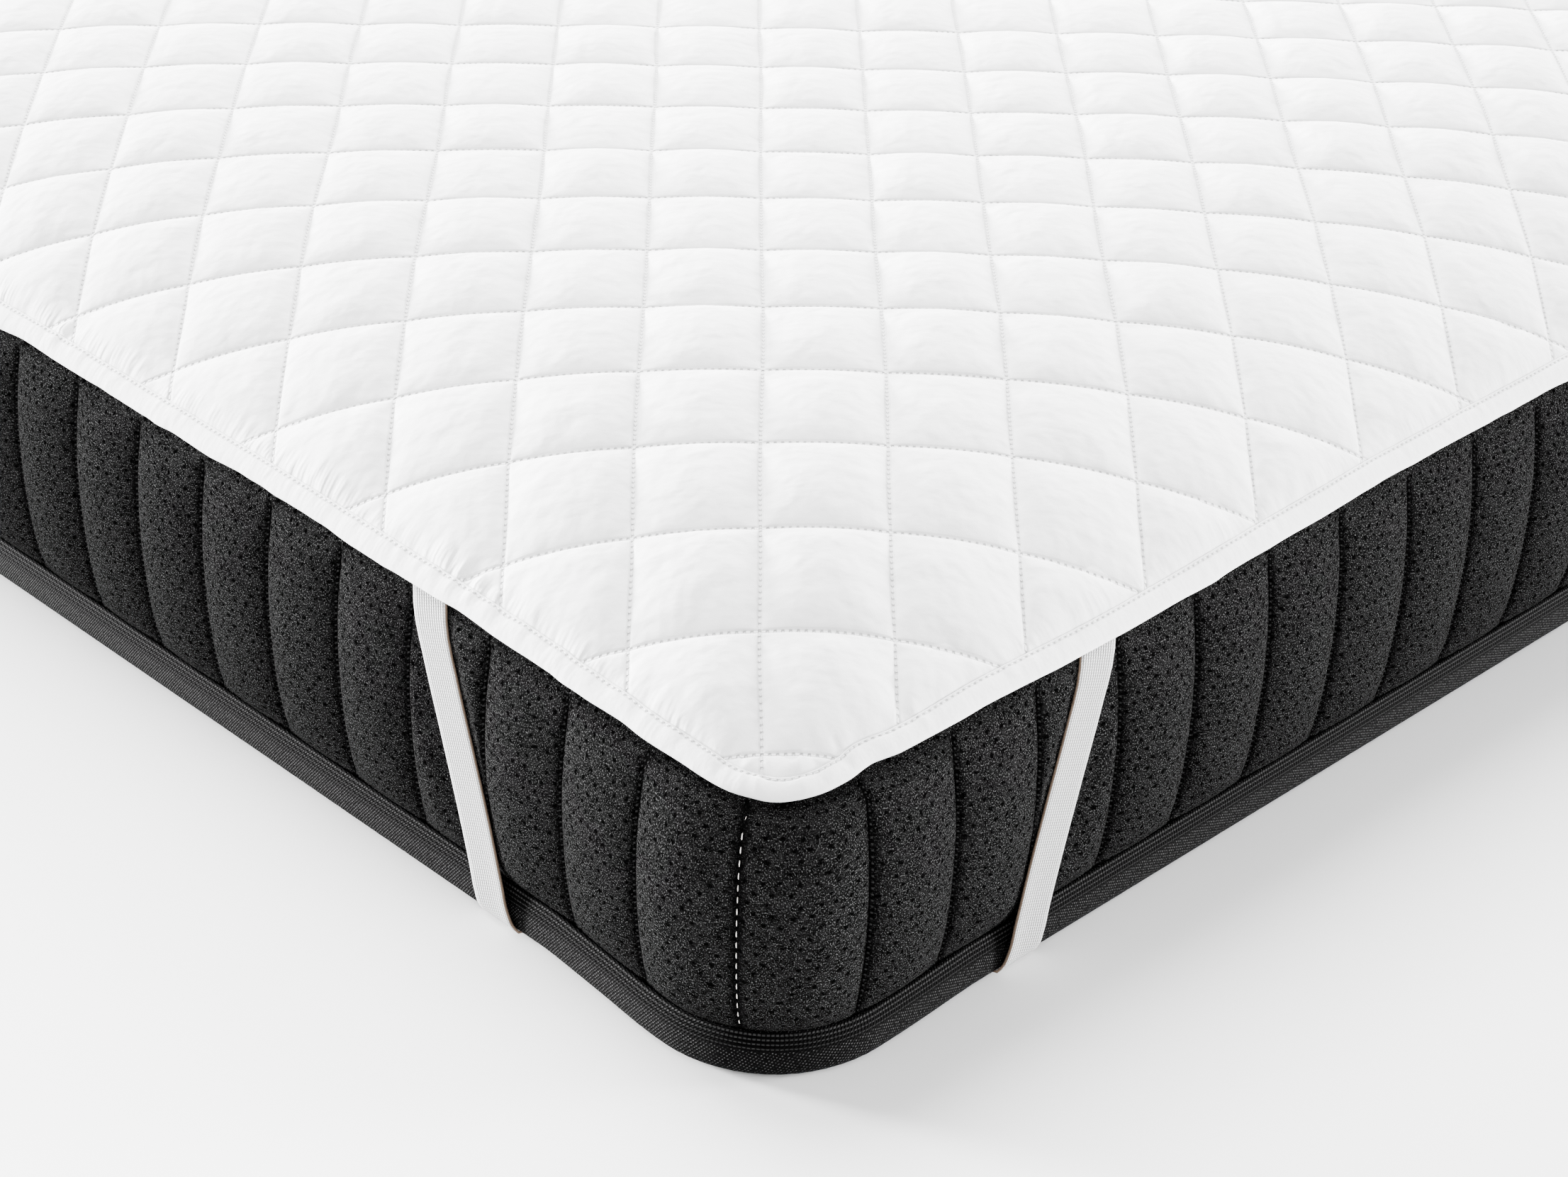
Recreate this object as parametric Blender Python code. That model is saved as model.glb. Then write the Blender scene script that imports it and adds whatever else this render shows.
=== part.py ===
"""Quilted mattress protector with corner elastics, lying on a plain mattress.

Metres, +Z up. The origin is under the middle of the bed, on the surface it rests on.
X runs across the bed and Y along it. The protector's quilting, its folded binding, the
four elastics, the mattress and the tape round the mattress's bottom edge are separate solids.
"""
import math
from collections import namedtuple

import bmesh
import bpy
from mathutils import Vector
from mathutils.geometry import delaunay_2d_cdt, intersect_line_line_2d

# Mattress: the plane of its sides, its corners and the height of its side at the pad's edge.
BED_WIDTH = 1.400
BED_LENGTH = 2.000
CORNER_RADIUS = 0.075
EDGE_HEIGHT = 0.200

# Crown: the top rises over the rounded shoulder, and the elastics pull the corners down.
CROWN_RISE = 0.077
CROWN_REACH = 0.0975
CORNER_DIP = 0.035
CORNER_DIP_REACH = 0.208
CORNER_PULL = 0.009
CORNER_PULL_REACH = 0.150

# Quilting: square cells that stand on a corner, a little longer along the bed's diagonal.
CELL_ALONG = 0.0747
CELL_ACROSS = 0.0730
QUILT_TURN = math.radians(1.45)
QUILT_CORNER_X = 0.0522
QUILT_CORNER_Y = 0.0362
PILLOW_HEIGHT = 0.0065
PILLOW_MARGIN = 0.015
PILLOW_SHOULDER = 0.78
PILLOW_SETBACK = 0.0022
PILLOW_FADE = 0.012
PAD_STITCHED = 0.0050
LINE_SPLIT_ZONE = 0.055

# Binding: bias tape folded round the pad's edge, and the pad's rim inside it.
BINDING_WIDTH = 0.0165
BINDING_LIFT = 0.0008
BINDING_DEPTH = 0.0066
BINDING_WALL = 0.0012
BINDING_FOOT_IN = 0.0014
PIECE_GAP = 0.0004

# The binding's section: its distance in from the edge, its height over the stitch line,
# and how far a wave of the edge moves the point out and up.
FoldPoint = namedtuple("FoldPoint", "inset rise waves_out waves_up")
FOLD_POINTS = (
    FoldPoint(BINDING_WIDTH, BINDING_LIFT, 0.0, 0.0),
    FoldPoint(0.0074, 0.0012, 0.0, 0.4),
    FoldPoint(0.0006, -0.0006, 0.0, 0.0),
    FoldPoint(0.0000, -0.0036, 0.5, 0.0),
    FoldPoint(BINDING_FOOT_IN, -BINDING_DEPTH, 0.0, 0.0),
    FoldPoint(BINDING_WIDTH, -BINDING_DEPTH, 0.0, 0.0),
    FoldPoint(BINDING_WIDTH, BINDING_WALL - BINDING_DEPTH, 0.0, 0.0),
    FoldPoint(BINDING_WALL, -0.0048, 0.0, 0.0),
    FoldPoint(BINDING_WALL, -0.0011, 0.0, 0.0),
    FoldPoint(BINDING_WIDTH, BINDING_LIFT - BINDING_WALL, 0.0, 0.0),
)
EdgeWave = namedtuple("EdgeWave", "height turn_per_station start")
EDGE_WAVES = (EdgeWave(0.0011, 1.90, 0.0), EdgeWave(0.0007, 0.83, 1.0))

# Mattress side: upright sewn channels that bulge like a barrel.
CHANNEL_COUNT = 98
SEAM_START = -0.078
CHANNEL_STEPS = (0.0, 0.18, 0.5, 0.82)
CHANNEL_ROUNDNESS = 0.6
TOP_EDGE_DROP = 0.0090
TOP_EDGE_IN = 0.0040
LEDGE_INSET = 0.024
CORE_INSET = 0.031
CORE_LINES = (0.050, 0.082, 0.125, 0.190, 0.290, 0.450)

SideRow = namedtuple("SideRow", "height_share seam_out crest_out")
SIDE_ROWS = (
    SideRow(0.00, -0.0060, -0.0050),
    SideRow(0.18, 0.0008, 0.0065),
    SideRow(0.62, 0.0045, 0.0105),
    SideRow(1.00, -0.0040, -0.0030),
)

# Bottom edge of the mattress and the woven tape round it.
TAPE_TOP = 0.0270
EDGE_BULGE_HEIGHT = 0.0100
EDGE_BULGE_IN = 0.0020
EDGE_FOOT_HEIGHT = 0.0016
EDGE_FOOT_IN = 0.0045
FLAT_INSET = 0.0090
TAPE_THICKNESS = 0.0012
TAPE_CLEAR = 0.0006
TAPE_BOTTOM = 0.0026

# Elastic: sewn under the binding on both sides of each corner, and led under the bed.
ELASTIC_WIDTH = 0.028
ELASTIC_THICKNESS = 0.0014
ELASTIC_UNDER_Z = 0.0012
ELASTIC_CLEAR = 0.0010
ELASTIC_FOOT_Z = 0.0022
PRESS_REACH = 0.037
GROOVE_WIDTH = 0.060
GROOVE_DEPTH = 0.0030
GROOVE_OVERRUN = 0.05

# One side of an elastic: the share of its way down from the binding, how far it stands
# out from the side's plane, and how much its corner side lifts where it turns under.
ElasticRow = namedtuple("ElasticRow", "down out lift spread")
ELASTIC_ROWS = (
    ElasticRow(0.00, -0.0032, 0.0000, 0.000),
    ElasticRow(0.05, 0.0012, 0.0000, 0.000),
    ElasticRow(0.22, 0.0054, 0.0000, 0.000),
    ElasticRow(0.46, 0.0070, 0.0000, 0.000),
    ElasticRow(0.68, 0.0058, 0.0010, 0.001),
    ElasticRow(0.85, 0.0040, 0.0028, 0.003),
    ElasticRow(0.94, 0.0035, 0.0030, 0.006),
    ElasticRow(0.98, 0.0026, 0.0022, 0.009),
    ElasticRow(1.00, 0.0014, 0.0012, 0.010),
)
ELASTIC_TURN_INS = (0.0010, 0.0090)
UNDER_SHARES = (0.25, 0.50, 0.75)
ElasticSide = namedtuple("ElasticSide", "top_reach foot_reach")
ELASTIC_ON_END = ElasticSide(0.287, 0.2355)
ELASTIC_ON_SIDE = ElasticSide(0.2465, 0.190)

# Rings round the bed share these steps.
STRAIGHT_STEP = 0.077
CORNER_STEPS = 7
MERGE = 1e-6
PLACE_DIGITS = 6


def remove_scene_objects():
    for obj in list(bpy.data.objects):
        bpy.data.objects.remove(obj, do_unlink=True)


def make_material(name, colour, roughness):
    material = bpy.data.materials.new(name)
    material.use_nodes = True
    shader = material.node_tree.nodes["Principled BSDF"]
    shader.inputs["Base Color"].default_value = (*colour, 1.0)
    shader.inputs["Roughness"].default_value = roughness
    shader.inputs["Metallic"].default_value = 0.0
    return material


def add_object(name, points, faces, material):
    mesh = bpy.data.meshes.new(name)
    mesh.from_pydata(points, [], faces)
    work = bmesh.new()
    work.from_mesh(mesh)
    bmesh.ops.recalc_face_normals(work, faces=work.faces)
    work.to_mesh(mesh)
    work.free()
    mesh.materials.append(material)
    obj = bpy.data.objects.new(name, mesh)
    bpy.context.scene.collection.objects.link(obj)
    return obj


# Outline of the bed

Station = namedtuple("Station", "x y out_x out_y run")


def outline_legs():
    """The straight sides, each with the corner that follows it, anticlockwise."""
    half_x = BED_WIDTH / 2
    half_y = BED_LENGTH / 2
    side_run = BED_LENGTH - 2 * CORNER_RADIUS
    end_run = BED_WIDTH - 2 * CORNER_RADIUS
    return (
        (Vector((half_x, CORNER_RADIUS - half_y)), Vector((0, 1)), side_run),
        (Vector((half_x - CORNER_RADIUS, half_y)), Vector((-1, 0)), end_run),
        (Vector((-half_x, half_y - CORNER_RADIUS)), Vector((0, -1)), side_run),
        (Vector((CORNER_RADIUS - half_x, -half_y)), Vector((1, 0)), end_run),
    )


CORNER_RUN = CORNER_RADIUS * math.pi / 2
PERIMETER = 2 * (BED_WIDTH + BED_LENGTH) - 8 * CORNER_RADIUS + 4 * CORNER_RUN


def station_at(run):
    """The point on the nominal outline that lies this far round it, with its outward normal."""
    left = run % PERIMETER
    for start, along, straight in outline_legs():
        out = Vector((along.y, -along.x))
        if left <= straight:
            place = start + along * left
            return Station(place.x, place.y, out.x, out.y, run)
        left -= straight
        if left <= CORNER_RUN:
            centre = start + along * straight - out * CORNER_RADIUS
            turned = left / CORNER_RADIUS
            normal = out * math.cos(turned) + along * math.sin(turned)
            place = centre + normal * CORNER_RADIUS
            return Station(place.x, place.y, normal.x, normal.y, run)
        left -= CORNER_RUN
    return station_at(0.0)


def ring_stations():
    """Places for the rings round the bed, closer together towards the corners."""
    stations = []
    run = 0.0
    for _, _, straight in outline_legs():
        steps = round(straight / STRAIGHT_STEP)
        for step in range(steps):
            share = step / steps
            eased = (1 - math.cos(math.pi * share)) / 2
            stations.append(station_at(run + straight * (share + eased) / 2))
        run += straight
        stations += [station_at(run + CORNER_RUN * step / CORNER_STEPS) for step in range(CORNER_STEPS)]
        run += CORNER_RUN
    return stations


def edge_distances(x, y):
    return BED_WIDTH / 2 - abs(x), BED_LENGTH / 2 - abs(y)


def stitch_height(x, y):
    """Height of the protector's stitch lines: the crown, less the dip at each corner."""
    from_side, from_end = (max(distance, 0.0) for distance in edge_distances(x, y))
    rise_side = 1 - math.exp(-from_side / CROWN_REACH)
    rise_end = 1 - math.exp(-from_end / CROWN_REACH)
    dip = CORNER_DIP * math.exp(-(from_side + from_end) / CORNER_DIP_REACH)
    return EDGE_HEIGHT + CROWN_RISE * rise_side * rise_end - dip


def pad_edge(station, inset):
    """A point of the protector's edge, which the elastics draw in near the corners."""
    x = station.x - station.out_x * inset
    y = station.y - station.out_y * inset
    from_side, from_end = edge_distances(x, y)
    pull = CORNER_PULL * math.exp(-(from_side + from_end) / CORNER_PULL_REACH)
    return x - math.copysign(pull, x), y - math.copysign(pull, y)


# Rings and plan meshes

def bridge(first, second):
    """Triangles between two rings of vertex numbers with the same count."""
    faces = []
    for a, b in zip(range(len(first)), [*range(1, len(first)), 0]):
        faces.append((first[a], first[b], second[b]))
        faces.append((first[a], second[b], second[a]))
    return faces


def inside(point, loop):
    x, y = point
    hit = False
    last_x, last_y = loop[-1]
    for this_x, this_y in loop:
        if (this_y > y) != (last_y > y):
            if x < (last_x - this_x) * (y - this_y) / (last_y - this_y) + this_x:
                hit = not hit
        last_x, last_y = this_x, this_y
    return hit


def triangulate(outer, hole=None, loose=(), lines=()):
    """Plan triangles inside the outer loop and outside the hole, with all given lines as edges."""
    points = list(outer)
    edges = [(index, (index + 1) % len(outer)) for index in range(len(outer))]
    if hole:
        base = len(points)
        points += hole
        edges += [(base + index, base + (index + 1) % len(hole)) for index in range(len(hole))]
    points += loose
    for line in lines:
        base = len(points)
        points += [tuple(point) for point in line]
        edges += [(base + index, base + index + 1) for index in range(len(line) - 1)]
    vectors = [Vector(point) for point in points]
    plan, _, faces, sources, _, _ = delaunay_2d_cdt(vectors, edges, [], 0, MERGE)
    kept = []
    for face in faces:
        middle = sum((plan[index] for index in face), Vector((0, 0))) / len(face)
        if inside(middle, outer) and not (hole and inside(middle, hole)):
            kept.append(tuple(face))
    # A point that was given keeps the exact place it was given at.
    placed = [points[source[0]] if source else tuple(point) for point, source in zip(plan, sources)]
    return placed, kept


class Shell:
    """Collects the points and faces of one solid, joining points that share a place."""

    def __init__(self):
        self.points = []
        self.faces = []
        self.places = {}

    def point(self, x, y, z):
        key = (round(x, PLACE_DIGITS), round(y, PLACE_DIGITS), round(z, PLACE_DIGITS))
        if key not in self.places:
            self.places[key] = len(self.points)
            self.points.append((x, y, z))
        return self.places[key]

    def ring(self, plan, height):
        return [self.point(x, y, height(x, y)) for x, y in plan]

    def patch(self, plan, faces, height):
        numbers = self.ring(plan, height)
        self.faces += [tuple(numbers[index] for index in face) for face in faces]

    def stack(self, rings):
        for first, second in zip(rings, rings[1:]):
            self.faces += bridge(first, second)


# Plan shared by the pad's underside and the mattress's top, so that they stay parallel

def core_plan():
    stations = ring_stations()
    loop = [pad_edge(station, CORE_INSET) for station in stations]
    half_x = BED_WIDTH / 2
    half_y = BED_LENGTH / 2
    columns = [0.0] + [side * (half_x - line) for line in CORE_LINES for side in (-1, 1)]
    rows = [0.0] + [side * (half_y - line) for line in CORE_LINES for side in (-1, 1)]
    loose = [(x, y) for x in columns for y in rows]
    plan, faces = triangulate(loop, loose=loose)
    return loop, plan, faces


# Quilting

def quilt_to_plan(along, across):
    """Grid place to plan: along runs from the near corner over the bed, across to its right."""
    turn = math.radians(45) + QUILT_TURN
    corner_x = BED_WIDTH / 2 - QUILT_CORNER_X
    corner_y = QUILT_CORNER_Y - BED_LENGTH / 2
    step_along = along * CELL_ALONG
    step_across = across * CELL_ACROSS
    x = corner_x - step_along * math.sin(turn) + step_across * math.cos(turn)
    y = corner_y + step_along * math.cos(turn) + step_across * math.sin(turn)
    return x, y


def plan_to_quilt(x, y):
    turn = math.radians(45) + QUILT_TURN
    from_x = x - BED_WIDTH / 2 + QUILT_CORNER_X
    from_y = y - QUILT_CORNER_Y + BED_LENGTH / 2
    along = (-from_x * math.sin(turn) + from_y * math.cos(turn)) / CELL_ALONG
    across = (from_x * math.cos(turn) + from_y * math.sin(turn)) / CELL_ACROSS
    return along, across


def pillow(x, y):
    """How high the filling lifts the cloth here: nothing on a stitch line, most mid-cell."""
    along, across = plan_to_quilt(x, y)
    from_row = abs(along - round(along)) * CELL_ALONG
    from_column = abs(across - round(across)) * CELL_ACROSS
    near = min(from_row, from_column)
    middle = min(CELL_ALONG, CELL_ACROSS) / 2
    if near < PILLOW_MARGIN:
        share = PILLOW_SHOULDER * near / PILLOW_MARGIN
    else:
        share = PILLOW_SHOULDER + (1 - PILLOW_SHOULDER) * (near - PILLOW_MARGIN) / (middle - PILLOW_MARGIN)
    from_binding = min(edge_distances(x, y)) - BINDING_WIDTH
    return PILLOW_HEIGHT * share * min(max(from_binding / PILLOW_FADE, 0.0), 1.0)


def clip_line(start, end, loop):
    """The stretch of a straight line between its first and last crossing of a loop, or None."""
    start, end = Vector(start), Vector(end)
    cuts = []
    for first, second in zip(loop, loop[1:] + loop[:1]):
        cut = intersect_line_line_2d(start, end, Vector(first), Vector(second))
        if cut:
            cuts.append(cut)
    if len(cuts) < 2:
        return None
    cuts.sort(key=lambda cut: (cut - start).length)
    return cuts[0], cuts[-1]


def quilt_lines(loop):
    """Stitch lines clipped to the pad, split where they cross the steep border."""
    half_x = BED_WIDTH / 2
    half_y = BED_LENGTH / 2
    corners = [plan_to_quilt(x, y) for x in (-half_x, half_x) for y in (-half_y, half_y)]
    along_range = [math.floor(min(c[0] for c in corners)) - 1, math.ceil(max(c[0] for c in corners)) + 1]
    across_range = [math.floor(min(c[1] for c in corners)) - 1, math.ceil(max(c[1] for c in corners)) + 1]
    lines = []
    for along in range(along_range[0], along_range[1] + 1):
        lines.append((quilt_to_plan(along, across_range[0]), quilt_to_plan(along, across_range[1])))
    for across in range(across_range[0], across_range[1] + 1):
        lines.append((quilt_to_plan(along_range[0], across), quilt_to_plan(along_range[1], across)))
    clipped = [clip_line(start, end, loop) for start, end in lines]
    ranges = (range(*along_range), range(*across_range))
    return [line for line in clipped if line], ranges


def pillow_squares(ranges, loop):
    """The inner square of each cell, and its middle, where they lie on the pad."""
    squares, middles = [], []
    margin_along = PILLOW_MARGIN / CELL_ALONG
    margin_across = PILLOW_MARGIN / CELL_ACROSS
    for along in ranges[0]:
        for across in ranges[1]:
            near, far = along + margin_along, along + 1 - margin_along
            left, right = across + margin_across, across + 1 - margin_across
            places = [(near, left), (near, right), (far, right), (far, left)]
            corners = [quilt_to_plan(*place) for place in places]
            middle = quilt_to_plan(along + 0.5, across + 0.5)
            kept = [inside(corner, loop) for corner in corners]
            if all(kept):
                squares.append(corners + corners[:1])
            else:
                middles += [corner for corner, keep in zip(corners, kept) if keep]
            if inside(middle, loop):
                middles.append(middle)
    return squares, middles


def border_points(ranges, loop):
    """Middles of cell sides close to the bed's edge, so that the border follows the crown."""
    points = []
    for along in ranges[0]:
        for across in ranges[1]:
            for place in ((along, across + 0.5), (along + 0.5, across)):
                x, y = quilt_to_plan(*place)
                if min(edge_distances(x, y)) < LINE_SPLIT_ZONE and inside((x, y), loop):
                    points.append((x, y))
    return points


def plan_key(x, y):
    return round(x, PLACE_DIGITS), round(y, PLACE_DIGITS)


def height_with_rim(rim, rim_height, height):
    """One height for the points of a rim, and another for all other points."""
    keys = {plan_key(x, y) for x, y in rim}

    def chosen(x, y):
        return rim_height(x, y) if plan_key(x, y) in keys else height(x, y)

    return chosen


def lowered(drop):
    return lambda x, y: stitch_height(x, y) - drop


def pad_underside(x, y):
    return stitch_height(x, y) - PAD_STITCHED


def build_pad(core, material):
    """Top cloth with its pillows, the flat rim inside the binding, and the underside."""
    stations = ring_stations()
    core_loop, core_points, core_faces = core
    shell = Shell()
    stitch_loop = [pad_edge(station, BINDING_WIDTH + PIECE_GAP) for station in stations]
    pillow_loop = [pad_edge(station, BINDING_WIDTH + PILLOW_SETBACK) for station in stations]
    lines, ranges = quilt_lines(pillow_loop)
    squares, middles = pillow_squares(ranges, pillow_loop)
    loose = middles + border_points(ranges, pillow_loop)
    plan, faces = triangulate(stitch_loop, loose=loose, lines=lines + squares)
    top_height = height_with_rim(stitch_loop, stitch_height, lambda x, y: stitch_height(x, y) + pillow(x, y))
    shell.patch(plan, faces, top_height)

    tongue_in = [pad_edge(station, BINDING_WIDTH) for station in stations]
    tongue_out = [pad_edge(station, BINDING_WALL + 3 * PIECE_GAP) for station in stations]
    tongue_top = BINDING_WALL - BINDING_LIFT + PIECE_GAP
    tongue_bottom = BINDING_DEPTH - BINDING_WALL - PIECE_GAP
    shell.stack((
        shell.ring(stitch_loop, stitch_height),
        shell.ring(tongue_in, lowered(tongue_top)),
        shell.ring(tongue_out, lowered(2 * tongue_top)),
        shell.ring(tongue_out, lowered(tongue_bottom - tongue_top)),
        shell.ring(tongue_in, lowered(tongue_bottom)),
    ))
    strip, strip_faces = triangulate(tongue_in, hole=core_loop)
    shell.patch(strip, strip_faces, height_with_rim(tongue_in, lowered(tongue_bottom), pad_underside))
    shell.patch(core_points, core_faces, pad_underside)
    return add_object("quilted_pad", shell.points, shell.faces, material)


def zip_rings(shell, first, second):
    """Triangles between two rings of different counts that start at the same station."""
    faces = []
    a = b = 0
    count_a, count_b = len(first), len(second)
    while a < count_a or b < count_b:
        next_a = Vector(shell.points[first[(a + 1) % count_a]])
        next_b = Vector(shell.points[second[(b + 1) % count_b]])
        now_a = Vector(shell.points[first[a % count_a]])
        now_b = Vector(shell.points[second[b % count_b]])
        step_a = a < count_a and (b >= count_b or (next_a - now_b).length <= (next_b - now_a).length)
        if step_a:
            faces.append((first[a % count_a], first[(a + 1) % count_a], second[b % count_b]))
            a += 1
        else:
            faces.append((first[a % count_a], second[(b + 1) % count_b], second[b % count_b]))
            b += 1
    return faces


# Binding

def build_binding(material):
    """A folded tape: a slim C whose two lips hold the pad's rim, waved a little along its edge."""
    sections = []
    for index, station in enumerate(ring_stations()):
        wave = sum(w.height * math.sin(index * w.turn_per_station + w.start) for w in EDGE_WAVES)
        ring = []
        for point in FOLD_POINTS:
            x, y = pad_edge(station, point.inset - point.waves_out * wave)
            ring.append((x, y, stitch_height(x, y) + point.rise + point.waves_up * abs(wave)))
        sections.append(ring)
    return add_swept_ring("edge_binding", sections, material)


def add_swept_ring(name, sections, material):
    points = [point for ring in sections for point in ring]
    size = len(sections[0])
    rows = [list(range(index * size, (index + 1) * size)) for index in range(len(sections))]
    faces = []
    # Taken backwards, so that each face is split the same way as the pad's rim inside it.
    for row, following in zip(rows, rows[1:] + rows[:1]):
        faces += bridge(following, row)
    return add_object(name, points, faces, material)


# Mattress

def binding_foot(reach):
    """Height of the binding's lowest line this far along an edge from a corner."""
    pull = CORNER_PULL * math.exp(-reach / CORNER_PULL_REACH)
    x = BED_WIDTH / 2 - pull - BINDING_FOOT_IN
    y = BED_LENGTH / 2 - reach
    return stitch_height(x, y) - BINDING_DEPTH


def elastic_height(side, down):
    """Height of an elastic's cross line: its top lies just under the binding."""
    top = binding_foot(side.top_reach - ELASTIC_WIDTH / 2) - 2 * PIECE_GAP
    return top + (ELASTIC_FOOT_Z - top) * down


def elastic_out(down):
    """How far the elastic stands out from the side's plane, this share of its way down."""
    for upper, lower in zip(ELASTIC_ROWS, ELASTIC_ROWS[1:]):
        if down <= lower.down:
            share = (down - upper.down) / (lower.down - upper.down)
            return upper.out + (lower.out - upper.out) * share
    return ELASTIC_ROWS[-1].out


def pressed(station, out, height):
    """The side's bulge here, held back where an elastic lies over it."""
    from_side, from_end = edge_distances(station.x, station.y)
    on_side = from_side < from_end
    reach = from_end if on_side else from_side
    side = ELASTIC_ON_SIDE if on_side else ELASTIC_ON_END
    top = elastic_height(side, 0.0)
    down = (top - height) / (top - ELASTIC_FOOT_Z)
    if abs(reach - side.top_reach - (side.foot_reach - side.top_reach) * down) > PRESS_REACH:
        return out
    return min(out, elastic_out(down) - ELASTIC_THICKNESS / 2 - ELASTIC_CLEAR)


def mattress_top(x, y):
    return pad_underside(x, y) - PIECE_GAP


def channel_bulge(step):
    return math.sin(math.pi * step) ** CHANNEL_ROUNDNESS if step else 0.0


def top_edge_point(station):
    x, y = pad_edge(station, TOP_EDGE_IN)
    return x, y, stitch_height(x, y) - TOP_EDGE_DROP


def mattress_side(shell):
    """Rows of the upright channels, from the tape's top to the top edge."""
    pitch = PERIMETER / CHANNEL_COUNT
    columns = []
    for channel in range(CHANNEL_COUNT):
        for step in CHANNEL_STEPS:
            station = station_at(SEAM_START + (channel + step) * pitch)
            top_x, top_y, top_z = top_edge_point(station)
            column = []
            for row in SIDE_ROWS[:-1]:
                height = TAPE_TOP + row.height_share * (top_z - TAPE_TOP)
                out = row.seam_out + (row.crest_out - row.seam_out) * channel_bulge(step)
                out = pressed(station, out, height)
                x = station.x + station.out_x * out
                y = station.y + station.out_y * out
                column.append(shell.point(x, y, height))
            column.append(shell.point(top_x, top_y, top_z))
            columns.append(column)
    rows = [list(row) for row in zip(*columns)]
    shell.stack(rows)
    return rows[0], rows[-1]


def build_mattress(core, material):
    core_loop, core_points, core_faces = core
    shell = Shell()
    low_row, top_row = mattress_side(shell)

    stations = ring_stations()
    ledge = [pad_edge(station, LEDGE_INSET) for station in stations]
    top_loop = [shell.points[number][:2] for number in top_row]
    plan, faces = triangulate(top_loop, hole=ledge)
    shell.patch(plan, faces, lowered(TOP_EDGE_DROP))
    plan, faces = triangulate(ledge, hole=core_loop)
    shell.patch(plan, faces, height_with_rim(ledge, lowered(TOP_EDGE_DROP), mattress_top))
    shell.patch(core_points, core_faces, mattress_top)

    low_loop = [shell.points[number][:2] for number in low_row]
    bulge = [offset_point(station, -EDGE_BULGE_IN) for station in stations]
    rings = (
        shell.ring(bulge, lambda x, y: EDGE_BULGE_HEIGHT),
        shell.ring([offset_point(s, -EDGE_FOOT_IN) for s in stations], lambda x, y: EDGE_FOOT_HEIGHT),
        shell.ring([offset_point(s, -FLAT_INSET) for s in stations], lambda x, y: 0.0),
    )
    start = min(range(len(low_row)), key=lambda n: (Vector(low_loop[n]) - Vector(bulge[0])).length)
    shell.faces += zip_rings(shell, low_row[start:] + low_row[:start], rings[0])
    shell.stack(rings)
    flat = [shell.points[number][:2] for number in rings[-1]]
    plan, faces = triangulate(flat)
    shell.patch(plan, faces, lambda x, y: 0.0)
    mattress = add_object("mattress", shell.points, shell.faces, material)
    for side_x in (-1, 1):
        for side_y in (-1, 1):
            cut_groove(mattress, side_x, side_y)


def offset_point(station, out):
    return station.x + station.out_x * out, station.y + station.out_y * out


def cut_groove(mattress, side_x, side_y):
    """A shallow press in the underside where the elastic crosses the corner."""
    start = corner_place(side_x, side_y, ELASTIC_ON_END.foot_reach, 0.0)
    end = corner_place(side_x, side_y, 0.0, ELASTIC_ON_SIDE.foot_reach)
    run = end - start
    across = Vector((-run.y, run.x)).normalized() * GROOVE_WIDTH / 2
    along = run.normalized() * GROOVE_OVERRUN
    loop = [start - along - across, end + along - across, end + along + across, start - along + across]
    points = [(p.x, p.y, z) for z in (-GROOVE_OVERRUN, GROOVE_DEPTH) for p in loop]
    faces = [(3, 2, 1, 0), (4, 5, 6, 7), (0, 1, 5, 4), (1, 2, 6, 5), (2, 3, 7, 6), (3, 0, 4, 7)]
    mesh = bpy.data.meshes.new("groove_cutter")
    mesh.from_pydata(points, [], faces)
    work = bmesh.new()
    work.from_mesh(mesh)
    bmesh.ops.recalc_face_normals(work, faces=work.faces)
    work.to_mesh(mesh)
    work.free()
    cutter = bpy.data.objects.new("groove_cutter", mesh)
    bpy.context.scene.collection.objects.link(cutter)
    cutter.hide_render = True
    cutter.display_type = "WIRE"
    cut = mattress.modifiers.new("groove", "BOOLEAN")
    cut.operation = "DIFFERENCE"
    cut.solver = "EXACT"
    cut.object = cutter


def build_tape(material):
    """Woven tape over the mattress's bottom edge: two faces that follow the edge's roll."""
    outer = (
        (SIDE_ROWS[0].crest_out + TAPE_CLEAR + TAPE_THICKNESS, TAPE_TOP),
        (TAPE_CLEAR + TAPE_THICKNESS - EDGE_BULGE_IN, EDGE_BULGE_HEIGHT),
        (TAPE_CLEAR + TAPE_THICKNESS - EDGE_FOOT_IN, TAPE_BOTTOM),
    )
    inner = (
        (TAPE_CLEAR - EDGE_FOOT_IN, TAPE_BOTTOM),
        (TAPE_CLEAR - EDGE_BULGE_IN, EDGE_BULGE_HEIGHT),
        (SIDE_ROWS[0].crest_out + TAPE_CLEAR, TAPE_TOP),
    )
    sections = []
    for station in ring_stations():
        sections.append([(*offset_point(station, out), height) for out, height in outer + inner])
    return add_swept_ring("bottom_tape", sections, material)


# Elastics

def corner_place(side_x, side_y, from_side, from_end):
    """A plan point given by its distances from the two faces that meet at a corner."""
    return Vector((side_x * (BED_WIDTH / 2 - from_side), side_y * (BED_LENGTH / 2 - from_end)))


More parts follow.
